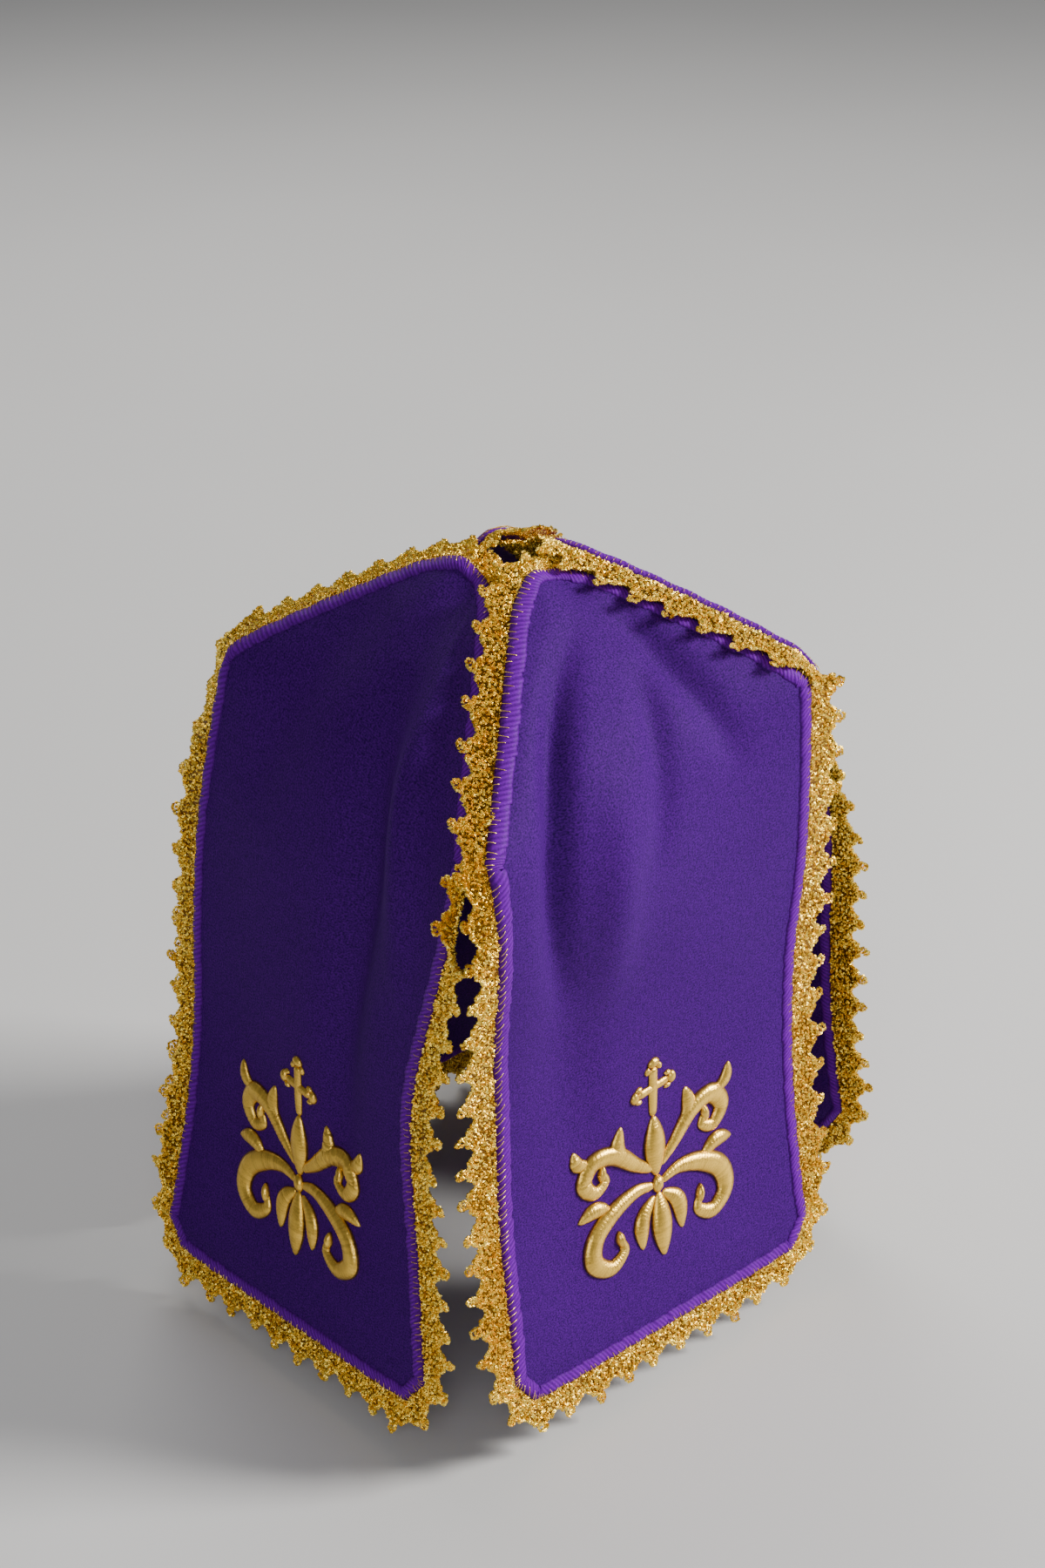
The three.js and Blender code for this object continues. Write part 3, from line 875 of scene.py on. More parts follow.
class Nodes:
    """A short way to write a material's node tree."""

    MIX_FIRST = 6
    MIX_SECOND = 7
    MIX_RESULT = 2

    def __init__(self, name: str) -> None:
        """Starts a material with its shader and output.

        Args:
            name: The material's name.
        """
        self.material = bpy.data.materials.new(name)
        self.material.use_nodes = True
        self.tree = self.material.node_tree
        self.shader = self.tree.nodes["Principled BSDF"]

    def add(self, kind: str, settings: dict[str, object], **inputs: object) -> bpy.types.Node:
        """Adds a node.

        Args:
            kind: Its type.
            settings: Values of its own properties.
            inputs: Values or output sockets for its inputs, by name with _ for spaces.

        Returns:
            The node.
        """
        node = self.tree.nodes.new(kind)
        for key, value in settings.items():
            setattr(node, key, value)
        for key, value in inputs.items():
            self.join(node, key.replace("_", " "), value)
        return node

    def join(self, node: bpy.types.Node, name: str | int, value: object) -> None:
        """Sets an input to a value, or links an output socket to it.

        Args:
            node: The node.
            name: The input's name or number.
            value: The value or the output socket.
        """
        if isinstance(value, bpy.types.NodeSocket):
            self.tree.links.new(value, node.inputs[name])
        else:
            node.inputs[name].default_value = value

    def shade(self, **inputs: object) -> None:
        """Sets the shader's inputs, by name with _ for spaces."""
        for key, value in inputs.items():
            self.join(self.shader, key.replace("_", " "), value)

    def weigh(
        self, value: bpy.types.NodeSocket, share: float, plus: bpy.types.NodeSocket | float = 0.0
    ) -> bpy.types.NodeSocket:
        """A value times a share, with another value added.

        Args:
            value: The value.
            share: The share.
            plus: What is added.

        Returns:
            The result's socket.
        """
        node = self.add("ShaderNodeMath", {"operation": "MULTIPLY_ADD"})
        for place, given in enumerate((value, share, plus)):
            self.join(node, place, given)
        return node.outputs[0]

    def multiply(self, first: bpy.types.NodeSocket, second: bpy.types.NodeSocket) -> bpy.types.NodeSocket:
        """One colour multiplied by another.

        Args:
            first: The one colour.
            second: The other.

        Returns:
            The result's socket.
        """
        node = self.add("ShaderNodeMix", {"data_type": "RGBA", "blend_type": "MULTIPLY"}, Factor=1.0)
        self.join(node, self.MIX_FIRST, first)
        self.join(node, self.MIX_SECOND, second)
        return node.outputs[self.MIX_RESULT]

    def ramp(
        self, factor: bpy.types.NodeSocket, stops: list[tuple[float, tuple[float, ...]]]
    ) -> bpy.types.NodeSocket:
        """A colour ramp.

        Args:
            factor: What it reads.
            stops: Places and colours.

        Returns:
            Its colour socket.
        """
        node = self.add("ShaderNodeValToRGB", {}, Fac=factor)
        elements = node.color_ramp.elements
        while len(elements) < len(stops):
            elements.new(0.5)
        for element, (position, colour) in zip(elements, stops):
            element.position = position
            element.color = (*colour, 1)
        return node.outputs["Color"]

    def flat_noise(
        self, scale: float, detail: float, stretch: tuple[float, float, float] = (1.0, 1.0, 1.0)
    ) -> bpy.types.NodeSocket:
        """Noise on the flat cloth.

        Args:
            scale: Its grains to the millimetre.
            detail: How many finer layers it has.
            stretch: Its share of the scale across and along the cloth.

        Returns:
            The noise's socket.
        """
        uv = self.add("ShaderNodeUVMap", {"uv_map": "flat"})
        mapping = self.add("ShaderNodeMapping", {}, Vector=uv.outputs["UV"])
        mapping.inputs["Scale"].default_value = tuple(share / MM for share in stretch)
        place = mapping.outputs["Vector"]
        noise = self.add("ShaderNodeTexNoise", {}, Vector=place, Scale=scale, Detail=detail)
        return noise.outputs["Fac"]


@dataclass(frozen=True)
class ClothFinish:
    """Fine grained violet crepe satin with a soft sheen."""

    deep: tuple[float, float, float] = (0.018, 0.0004, 0.070)
    light: tuple[float, float, float] = (0.078, 0.002, 0.212)
    deep_at: float = 0.36
    light_at: float = 0.64
    worn: tuple[float, float, float] = (0.93, 0.93, 0.94)
    fresh: tuple[float, float, float] = (1.0, 1.0, 1.0)
    worn_at: float = 0.3
    fresh_at: float = 0.7
    sheen: tuple[float, float, float] = (0.34, 0.12, 0.85)
    sheen_weight: float = 0.03
    sheen_roughness: float = 0.45
    roughness: float = 0.7
    specular: float = 0.08
    grain: float = 2.2
    grain_share: float = 0.82
    slub: float = 0.6
    slub_stretch: tuple[float, float, float] = (1.6, 0.7, 1.0)
    slub_share: float = 0.18
    patch: float = 0.05
    bump: float = 0.5
    bump_height: float = 0.00012

    def make(self) -> bpy.types.Material:
        """Makes the material.

        Returns:
            The material.
        """
        nodes = Nodes("violet_cloth")
        grain = nodes.flat_noise(self.grain, 3)
        slub = nodes.flat_noise(self.slub, 2, self.slub_stretch)
        patches = nodes.flat_noise(self.patch, 2)
        weave = nodes.weigh(grain, self.grain_share, nodes.weigh(slub, self.slub_share))
        colour = nodes.ramp(weave, [(self.deep_at, self.deep), (self.light_at, self.light)])
        tint = nodes.ramp(patches, [(self.worn_at, self.worn), (self.fresh_at, self.fresh)])
        bump = nodes.add("ShaderNodeBump", {}, Strength=self.bump, Distance=self.bump_height, Height=weave)
        nodes.shade(
            Base_Color=nodes.multiply(colour, tint),
            Roughness=self.roughness,
            Specular_IOR_Level=self.specular,
            Sheen_Weight=self.sheen_weight,
            Sheen_Roughness=self.sheen_roughness,
            Sheen_Tint=(*self.sheen, 1),
            Normal=bump.outputs["Normal"],
        )
        return nodes.material


@dataclass(frozen=True)
class ThreadFinish:
    """Stitched thread, coloured from each point's shade value, which holds painted shade between the
    stitches.
    """

    name: str
    dark: tuple[float, float, float]
    bright: tuple[float, float, float]
    metallic: float
    roughness: float
    specular: float
    grain: float
    grain_share: float = 0.5
    dark_at: float = 0.15
    bright_at: float = 1.1
    bump: float = 0.5
    bump_height: float = 0.00015

    def make(self) -> bpy.types.Material:
        """Makes the material.

        Returns:
            The material.
        """
        nodes = Nodes(self.name)
        shade = nodes.add("ShaderNodeAttribute", {"attribute_name": "shade"})
        fibre = nodes.flat_noise(self.grain, 2)
        # The shade attribute holds painted shade and highlight from the stitches' shapes, with random tone in
        # some threads; the fibre noise adds grain.
        total = nodes.weigh(fibre, self.grain_share, shade.outputs["Fac"])
        bump = nodes.add("ShaderNodeBump", {}, Strength=self.bump, Distance=self.bump_height, Height=fibre)
        nodes.shade(
            Base_Color=nodes.ramp(total, [(self.dark_at, self.dark), (self.bright_at, self.bright)]),
            Metallic=self.metallic,
            Roughness=self.roughness,
            Specular_IOR_Level=self.specular,
            Normal=bump.outputs["Normal"],
        )
        return nodes.material


GOLD_THREAD = ThreadFinish(
    name="gold_thread",
    dark=(0.26, 0.10, 0.005),
    bright=(0.97, 0.62, 0.10),
    metallic=0.9,
    roughness=0.3,
    specular=0.5,
    grain=3.0,
)

VIOLET_THREAD = ThreadFinish(
    name="violet_thread",
    dark=(0.018, 0.0001, 0.056),
    bright=(0.175, 0.0002, 0.43),
    metallic=0.0,
    roughness=0.5,
    specular=0.07,
    grain=2.5,
)


@dataclass(frozen=True)
class LaceFinish:
    """Metallic crochet yarn: sparkling gold knots of varied tone, with a painted shade colour for the gaps
    between them.
    """

    # The backing's colour: painted shade standing in for the shadow in the gaps between the knots.
    painted_gap_shade: tuple[float, float, float] = (0.20, 0.085, 0.005)
    brown: tuple[float, float, float] = (0.62, 0.32, 0.018)
    gold: tuple[float, float, float] = (0.94, 0.56, 0.035)
    pale: tuple[float, float, float] = (1.0, 0.75, 0.12)
    brown_at: float = 0.25
    gold_at: float = 0.6
    metallic: float = 0.92
    smooth: float = 0.15
    rough: float = 0.38
    grain: float = 4200.0
    bump: float = 0.6
    bump_height: float = 0.0002

    def make(self) -> bpy.types.Material:
        """Makes the material.

        Returns:
            The material.
        """
        nodes = Nodes("gold_lace")
        shade = nodes.add("ShaderNodeAttribute", {"attribute_name": "shade"})
        between = [(self.brown_at, self.brown), (self.gold_at, self.gold)]
        # Shade 0, given only to the backing, takes the painted shade colour of the gaps.
        colour = nodes.ramp(shade.outputs["Fac"], [(0.0, self.painted_gap_shade), *between, (1.0, self.pale)])
        place = nodes.add("ShaderNodeTexCoord", {}).outputs["Object"]
        noise = nodes.add("ShaderNodeTexNoise", {}, Vector=place, Scale=self.grain, Detail=1.0)
        grain = noise.outputs["Fac"]
        rough = nodes.add("ShaderNodeMapRange", {}, Value=grain, To_Min=self.smooth, To_Max=self.rough)
        bump = nodes.add("ShaderNodeBump", {}, Strength=self.bump, Distance=self.bump_height, Height=grain)
        nodes.shade(
            Base_Color=colour,
            Metallic=self.metallic,
            Roughness=rough.outputs["Result"],
            Normal=bump.outputs["Normal"],
        )
        return nodes.material


@dataclass
class ClothPanel:
    """One violet panel: a thin sheet on the hung shape, with its main folds."""

    side: Side
    drape: Drape
    thickness: float = 1.0
    row_step: float = 1.5
    columns: int = 72

    def build(self) -> bpy.types.Object:
        """Makes the sheet, front, back and rim.

        Returns:
            The panel's object.
        """
        cut = self.drape.cut
        rows = int(round(cut.length / self.row_step)) + 1
        length = np.linspace(cut.tip_start, cut.hem, rows)
        length[np.abs(length - cut.lower_corner).argmin()] = cut.lower_corner
        share = np.linspace(-1, 1, self.columns + 1)
        lengths = np.repeat(length, len(share))
        across = (cut.half(length)[:, None] * share[None, :]).ravel()
        points, normals = self.drape.surface(self.side, lengths, across)
        faces = strip_faces(rows, len(share), False, False)
        offset = normals * self.thickness / 2
        flat = np.stack([across, lengths], -1)
        count = len(points)
        wide = len(share)
        index = np.arange(count).reshape(rows, wide)
        rim = np.concatenate([index[:-1, 0], index[-1, :-1], index[:0:-1, -1], index[0, :0:-1]])
        after = np.roll(rim, -1)
        walls = np.stack([after, rim, rim + count, after + count], -1)
        parts = MeshParts()
        both = np.concatenate([points + offset, points - offset])
        every = np.concatenate([faces, faces[:, ::-1] + count, walls])
        parts.add(both, every, 1.0, np.concatenate([flat, flat]))
        return parts.make(f"cloth_{self.side.label}")

    def dress(self, piece: bpy.types.Object, finish: bpy.types.Material) -> None:
        """Gives the panel its finish and its place in the frame."""
        fit(piece, finish, f"panel_{self.side.label}")


@dataclass(frozen=True)
class Shell:
    """A round lobe on the lace's edge: its middle from the repeat's middle, how far out, and its radius."""

    shift: float
    out: float
    radius: float


@dataclass(frozen=True)
class PicotLoop:
    """A ring of knots past the shells: its middle, half width, half height and number of knots."""

    shift: float
    out: float
    half_wide: float
    half_tall: float
    knots: int


SHELLS = [
    Shell(0.0, 7.5, 1.6),
    Shell(-2.0, 6.9, 1.35),
    Shell(2.0, 6.9, 1.35),
    Shell(-3.7, 6.0, 1.0),
    Shell(3.7, 6.0, 1.0),
]

PICOT_LOOPS = [
    PicotLoop(0.0, 10.1, 1.2, 1.4, 12),
    PicotLoop(0.0, 10.0, 0.45, 0.55, 3),
    PicotLoop(-2.1, 8.1, 0.5, 0.5, 5),
    PicotLoop(2.1, 8.1, 0.5, 0.5, 5),
]

# Faces of a knot: eight triangles over the two ends of its long, wide and high axes.
KNOT_FACES = np.array(
    [[0, 2, 4], [2, 1, 4], [1, 3, 4], [3, 0, 4], [2, 0, 5], [1, 2, 5], [3, 1, 5], [0, 3, 5]]
)


@dataclass
class LaceBorder:
    """One panel's lace: a close ground of knots, low shells and a tall looped picot in each repeat."""

    side: Side
    border: Border
    seed: int
    pitch: float = 9.6
    inner: float = 0.35
    ground: float = 6.0
    reach: float = 10.0
    backing_step: float = 1.2
    backing_rows: int = 6
    backing_thick: float = 0.2
    backing_inset: float = 0.35
    knot_step: float = 0.78
    knot_row: float = 0.74
    knot_long: float = 0.59
    knot_wide: float = 0.45
    knot_high_share: float = 1.25
    first_row: float = 0.25
    knot_inset: float = 0.15
    way_scatter: float = 0.22
    out_scatter: float = 0.2
    knot_sizes: tuple[float, float] = (0.82, 1.25)
    edge_samples: int = 200
    edge_step: float = 0.62
    edge_inset: float = 0.1
    edge_way_scatter: float = 0.06
    edge_out_scatter: float = 0.05
    edge_sizes: tuple[float, float] = (0.95, 1.25)
    picot_height: float = 4
    picot_sway: float = 0.25
    picot_stretch: float = 0.035
    relief: float = 0.15
    turn_scatter: float = 0.35
    shade_middle: float = 0.76
    shade_scatter: float = 0.24
    shade_least: float = 0.22

    def __post_init__(self) -> None:
        """Fits whole repeats round the edge."""
        total = self.border.outline.total
        self.repeats = int(round(total / self.pitch))
        self.repeat = total / self.repeats

    def shell(self, way: Array) -> Array:
        """How far out the lace's close part reaches at a way round: shells over the ground.

        Args:
            way: Ways round the edge.

        Returns:
            Distances outside the cloth.
        """
        place = np.mod(way, self.repeat) - self.repeat / 2
        reach = np.full_like(place, self.ground)
        for lobe in SHELLS:
            inside = lobe.radius**2 - (place - lobe.shift) ** 2
            reach = np.maximum(reach, np.where(inside > 0, lobe.out + np.sqrt(np.maximum(inside, 0)), 0))
        return reach

    def _backing(self, parts: MeshParts) -> None:
        """Makes a thin sheet between the knots, coloured as painted shade for the gaps.

        Args:
            parts: Where the sheet's mesh goes.
        """
        count = int(round(self.border.outline.total / self.backing_step))
        way = np.arange(count) * self.border.outline.total / count
        share = np.linspace(0, 1, self.backing_rows)
        ways = np.repeat(way, len(share))
        wide = self.shell(way) - self.backing_inset - self.inner
        distance = (self.inner + wide[:, None] * share[None, :]).ravel()
        points, _, _, normal = self.border.frames(self.side, ways, distance)
        offset = normal * self.backing_thick / 2
        ring = np.concatenate(
            [(points + offset).reshape(count, -1, 3), (points - offset).reshape(count, -1, 3)[:, ::-1]], 1
        )
        faces = strip_faces(count, 2 * len(share), True, True)
        # Shade 0 gives the backing the painted shade colour of the gaps between the knots.
        parts.add(ring.reshape(-1, 3), faces[:, ::-1], 0.0)

    def _knots(self) -> tuple[Array, Array, Array, Array]:
        """Places of the ground's and shells' knots.

        Returns:
            Ways round, distances, directions in the sheet (radians from along the edge) and sizes.
        """
        rng = np.random.default_rng(self.seed)
        ways, distances, turns = [], [], []
        rows = int(self.reach / self.knot_row)
        count = int(round(self.border.outline.total / self.knot_step))
        for row in range(rows):
            way = (np.arange(count) + 0.5 * (row % 2)) * self.border.outline.total / count
            distance = np.full(count, self.inner + self.first_row + row * self.knot_row)
            keep = distance < self.shell(way) - self.knot_inset
            ways.append(way[keep])
            distances.append(distance[keep])
            turns.append(rng.uniform(0, math.pi, keep.sum()))
        way = np.concatenate(ways)
        distance = np.concatenate(distances)
        turn = np.concatenate(turns)
        way = way + rng.normal(0, self.way_scatter, len(way))
        distance = np.maximum(distance + rng.normal(0, self.out_scatter, len(way)), self.inner)
        size = rng.uniform(*self.knot_sizes, len(way))
        return way, distance, turn, size

    def _edge_knots(self) -> tuple[Array, Array, Array, Array]:
        """Places of the knots along the scalloped edge and round the picots' loops.

        Returns:
            Ways round, distances, directions in the sheet and sizes.
        """
        rng = np.random.default_rng(self.seed + 1)
        fine = np.linspace(0, self.repeat, self.edge_samples)
        edge = self.shell(fine)
        walked = np.concatenate([[0], np.cumsum(np.hypot(np.diff(fine), np.diff(edge)))])
        stops = np.arange(0, walked[-1], self.edge_step)
        edge_way = np.interp(stops, walked, fine)
        edge_out = np.interp(stops, walked, edge) - self.edge_inset
        slope = np.arctan2(np.gradient(edge_out), np.gradient(edge_way))
        centre = self.repeat / 2
        ways, outs, turns = [edge_way], [edge_out], [slope]
        for loop in PICOT_LOOPS:
            angle = np.arange(loop.knots) / loop.knots * math.tau
            ways.append(centre + loop.shift + loop.half_wide * np.cos(angle))
            outs.append(loop.out + loop.half_tall * np.sin(angle))
            turns.append(np.arctan2(loop.half_tall * np.cos(angle), -loop.half_wide * np.sin(angle)))
        one_way, one_out, one_turn = (np.concatenate(column) for column in (ways, outs, turns))
        shift = np.repeat(np.arange(self.repeats) * self.repeat, len(one_way))
        sway = np.repeat(rng.normal(0, self.picot_sway, self.repeats), len(one_way))
        tall = np.repeat(rng.normal(1, self.picot_stretch, self.repeats), len(one_way))
        way = np.tile(one_way, self.repeats) + shift
        out = np.tile(one_out, self.repeats)
        beyond = np.maximum(out - self.ground, 0)
        way = way + sway * beyond / self.picot_height + rng.normal(0, self.edge_way_scatter, len(way))
        out = np.minimum(out, self.ground) + beyond * tall + rng.normal(0, self.edge_out_scatter, len(way))
        turn = np.tile(one_turn, self.repeats) + rng.normal(0, self.turn_scatter, len(way))
        return way, out, turn, rng.uniform(*self.edge_sizes, len(way))

    def build(self) -> bpy.types.Object:
        """Makes the lace.

        Returns:
            The border's object.
        """
        rng = np.random.default_rng(self.seed + 2)
        parts = MeshParts()
        self._backing(parts)
        groups = zip(self._knots(), self._edge_knots())
        way, distance, turn, size = (np.concatenate(group) for group in groups)
        points, along, away, normal = self.border.frames(self.side, way, distance)
        relief = rng.normal(0, self.relief, len(way))
        centre = points + normal * relief[:, None]
        length_axis = along * np.cos(turn)[:, None] + away * np.sin(turn)[:, None]
        tilt = rng.normal(0, self.turn_scatter, len(way))[:, None]
        length_axis = unit(length_axis + normal * tilt)
        width_axis = unit(np.cross(normal, length_axis))
        height_axis = np.cross(length_axis, width_axis)
        axes = [
            length_axis * (self.knot_long * size)[:, None],
            width_axis * (self.knot_wide * size)[:, None],
            height_axis * (self.knot_wide * self.knot_high_share * size)[:, None],
        ]
        tips = np.stack([centre + end * axis for axis in axes for end in (1, -1)], 1)
        corners = tips.shape[1]
        faces = (np.arange(len(way)) * corners)[:, None, None] + KNOT_FACES[None]
        shade = rng.normal(self.shade_middle, self.shade_scatter, len(way))
        shade = np.clip(shade, self.shade_least, 1.0)
        parts.add(tips.reshape(-1, 3), faces.reshape(-1, 3), np.repeat(shade, corners))
        piece = parts.make(f"lace_border_{self.side.label}")
        piece.data.polygons.foreach_set("use_smooth", np.zeros(len(piece.data.polygons), bool))
        return piece

    def dress(self, piece: bpy.types.Object, finish: bpy.types.Material) -> None:
        """Gives the lace its finish and its place in the frame."""
        fit(piece, finish, f"lace_{self.side.label}")


@dataclass
class OvercastEdge:
    """The close satin stitch over a panel's edge, and the gold loops that tie the lace to it."""

    side: Side
    border: Border
    seed: int
    width: float = 3.6
    back_width: float = 2.8
    overhang: float = 0.5
    rise: float = 0.5
    cloth_half: float = 0.5
    stitch_pitch: float = 1.25
    stitch_samples: int = 4
    stitch_rise: float = 0.16
    slant: float = 0.75
    ragged: float = 0.12
    ragged_from: float = -2
    outside_places: tuple[float, ...] = (-1.0, -0.86, -0.6, -0.3, -0.06)
    inside_places: tuple[float, ...] = (-0.1, -0.55, -1.0)
    tuck: float = 0.12
    tuck_from: float = 0.95
    # Weights of the band's painted shade: a least value, the painted highlight on each stitch's crest and the
    # painted highlight on the band's crest.
    shade_least: float = 0.1
    shade_stitch: float = 0.55
    shade_round: float = 0.12
    loop_pitch: float = 1.95
    loop_radius: float = 0.1
    loop_scatter: float = 0.15
    loop_root: float = 0.9
    loop_reach: tuple[float, float] = (1.2, 2.4)
    loop_lean: tuple[float, float] = (0.7, 1.5)
    loop_clear: float = 0.12
    loop_arch: tuple[float, float] = (0.3, 0.6)
    loop_end_share: float = 0.4
    loop_shades: tuple[float, float] = (0.55, 1.0)
    loop_rings: int = 5

    def _section(self) -> list[tuple[float, int, float]]:
        """Points of the band's section, from the outer face over the edge to the inner face.

        Returns:
            For each its distance outside the edge, its face (1, 0 or -1) and its share of the rise.
        """
        section = []
        for place in self.outside_places:
            section.append((place * self.width, 1, math.sqrt(max(1 - (place * 2 + 1) ** 2, 0))))
        section.append((self.overhang, 0, 0))
        for place in self.inside_places:
            section.append((place * self.back_width, -1, math.sqrt(max(1 - (place * 2 + 1) ** 2, 0))))
        return section

    def build_band(self) -> bpy.types.Object:
        """Makes the satin band, round the edge and over both faces.

        Returns:
            The band's object.
        """
        rng = np.random.default_rng(self.seed)
        total = self.border.outline.total
        stitches = int(round(total / self.stitch_pitch))
        count = stitches * self.stitch_samples
        way = np.arange(count) * total / count
        bulge = 0.5 - 0.5 * np.cos(math.tau * (np.arange(count) + 0.5) / self.stitch_samples)
        ragged = np.repeat(rng.normal(0, self.ragged, stitches), self.stitch_samples)
        section = self._section()
        columns, shades, flats = [], [], []
        for distance, face, round_share in section:
            inside = np.full(count, distance) + ragged * (distance < self.ragged_from)
            ways = way + distance * self.slant
            points, _, _, normal = self.border.frames(self.side, ways, inside)
            lift = face * (self.cloth_half + self.rise * round_share + self.stitch_rise * bulge * round_share)
            lift = lift - face * self.tuck * (abs(distance) > self.width * self.tuck_from)
            columns.append(points + normal * lift[:, None])
            # Painted shade and highlight: darker between the stitches and towards the band's edges, lighter
            # on each stitch's crest.
            shade = self.shade_least + self.shade_stitch * bulge * round_share
            shades.append(shade + self.shade_round * round_share)
            flats.append(np.stack([ways, np.full(count, distance)], -1))
        ring = np.stack(columns, 1)
        faces = strip_faces(count, len(section), True, True)[:, ::-1]
        parts = MeshParts()
        shade = np.stack(shades, 1).ravel()
        parts.add(ring.reshape(-1, 3), faces, shade, np.stack(flats, 1).reshape(-1, 2))
        return parts.make(f"overcast_edge_{self.side.label}")

    def build_loops(self) -> bpy.types.Object:
        """Makes the pale gold loops, each from the lace slanting over the satin band.

        Returns:
            The loops' object.
        """
        rng = np.random.default_rng(self.seed + 1)
        total = self.border.outline.total
        count = int(round(total / self.loop_pitch))
        start = np.arange(count) * total / count + rng.normal(0, self.loop_scatter, count)
        reach = rng.uniform(*self.loop_reach, count)
        lean = rng.uniform(*self.loop_lean, count)
        clear = self.rise + self.stitch_rise + self.loop_clear
        low, climb = self.loop_arch
        rings = []
        for k in np.linspace(0, 1, self.loop_rings):
            distance = self.loop_root - k * (reach + self.loop_root)
            points, along, _, normal = self.border.frames(self.side, start - k * lean, distance)
            lift = self.cloth_half + clear * math.sin(math.pi * (low + climb * k))
            radius = self.loop_radius * (1 if 0 < k < 1 else self.loop_end_share)
            middle = points + normal * lift
            round_points = ((1, 0), (0, 1), (-1, 0), (0, -1))
            corners = [middle + radius * (c * along + s * normal) for c, s in round_points]
            rings.append(np.stack(corners, 1))
        tube = np.stack(rings, 1).reshape(count, -1, 3)
        one = strip_faces(self.loop_rings, 4, False, True)
        last = tube.shape[1] - 1
        caps = np.array([[0, 1, 2, 3], [last, last - 1, last - 2, last - 3]])
        one = np.concatenate([one, caps])
        faces = (np.arange(count) * tube.shape[1])[:, None, None] + one[None]
        parts = MeshParts()
        shade = np.repeat(rng.uniform(*self.loop_shades, count), tube.shape[1])
        parts.add(tube.reshape(-1, 3), faces.reshape(-1, 4), shade)
        return parts.make(f"lace_ties_{self.side.label}")

    def dress(self, piece: bpy.types.Object, finish: bpy.types.Material, slot: Slot) -> None:
        """Gives the stitches their finish and their place in the frame."""
        fit(piece, finish)


@dataclass(frozen=True)
class Stroke:
    """One padded stroke of the embroidery: points across and up from its middle, and three widths."""

    points: tuple[tuple[float, float], ...]
    widths: tuple[float, float, float]
    mirrored: bool = True
    span_points: int = 24
    least_points: int = 8

    def line(self, step: float) -> Array:
        """Walks a smooth line through the stroke's points.

        Args:
            step: The distance between the points to return.

        Returns:
            Evenly spaced points.
        """
        points = np.array(self.points, float)
        if len(points) > 2:
            padded = np.concatenate([[2 * points[0] - points[1]], points, [2 * points[-1] - points[-2]]])
            k = np.linspace(0, 1, self.span_points, endpoint=False)[:, None]
            spans = []
            for a, b, c, d in zip(padded, padded[1:], padded[2:], padded[3:]):
                curve = 2 * b + (c - a) * k + (2 * a - 5 * b + 4 * c - d) * k**2
                spans.append((curve + (3 * b - a - 3 * c + d) * k**3) / 2)
            points = np.concatenate([*spans, points[-1:]])
        walked = np.concatenate([[0], np.cumsum(np.linalg.norm(np.diff(points, axis=0), axis=1))])
        stops = np.linspace(0, walked[-1], max(int(walked[-1] / step), self.least_points))
        return np.stack([np.interp(stops, walked, points[:, i]) for i in (0, 1)], -1)


STROKES = [
    Stroke(((0, -5.5), (0, 3), (0, 13.5)), (0.8, 5.4, 0.8), False),
    Stroke(((0, 13.5), (0, 29)), (1.7, 2.3, 2.2), False),
    Stroke(((-5.4, 22.6), (5.4, 22.6)), (2.2, 2.0, 2.2), False),
    Stroke(((0, 29), (0, 32)), (2.8, 3, 2.8), False),
    Stroke(((1.3, 28.4), (2.9, 28.9)), (2.1, 2.2, 2.1)),
    Stroke(((5.2, 22.6), (8, 22.6)), (2.8, 3, 2.8)),
    Stroke(((5, 23.8), (5.4, 25.4)), (2.1, 2.2, 2.1)),
    Stroke(((5, 21.4), (5.4, 19.8)), (2.1, 2.2, 2.1)),
    Stroke(
        ((1.4, -3), (7, 1.5), (14, 8.2), (21, 9.6), (24.6, 4.6), (21.6, 0), (17.6, 1.6), (18.2, 4.8)),
        (1.6, 4.4, 1.4),
    ),
    Stroke(((17.2, 4.6), (19.8, 5)), (3.9, 4.2, 3.9)),
    Stroke(
        ((1.4, -8), (8, -6.8), (16, -9), (23, -14), (24.6, -21), (19.4, -25.4), (14, -22.6), (14.6, -18.4)),
        (1.6, 4.8, 1.4),
    ),
    Stroke(((13.4, -18.2), (16.2, -18.6)), (4.1, 4.4, 4.1)),
    Stroke(((16.6, -8), (22, -5.4), (28, -6.6)), (0.8, 3.8, 0.5)),
    Stroke(((9.2, 4), (12.8, 9.5), (11.6, 16.4)), (0.8, 3.6, 0.5)),
    Stroke(((21.5, 9.4), (26, 11.6), (27.4, 16.4)), (0.8, 3.2, 0.5)),
    Stroke(((0, -10.5), (0, -20), (0, -30.5)), (0.8, 5.2, 0.6), False),
    Stroke(((1.6, -11), (6.6, -16.4), (7.4, -25.4)), (0.8, 4.0, 0.5)),
    Stroke(((-1.9, -8), (1.9, -8)), (3.6, 4.0, 3.6), False),
]


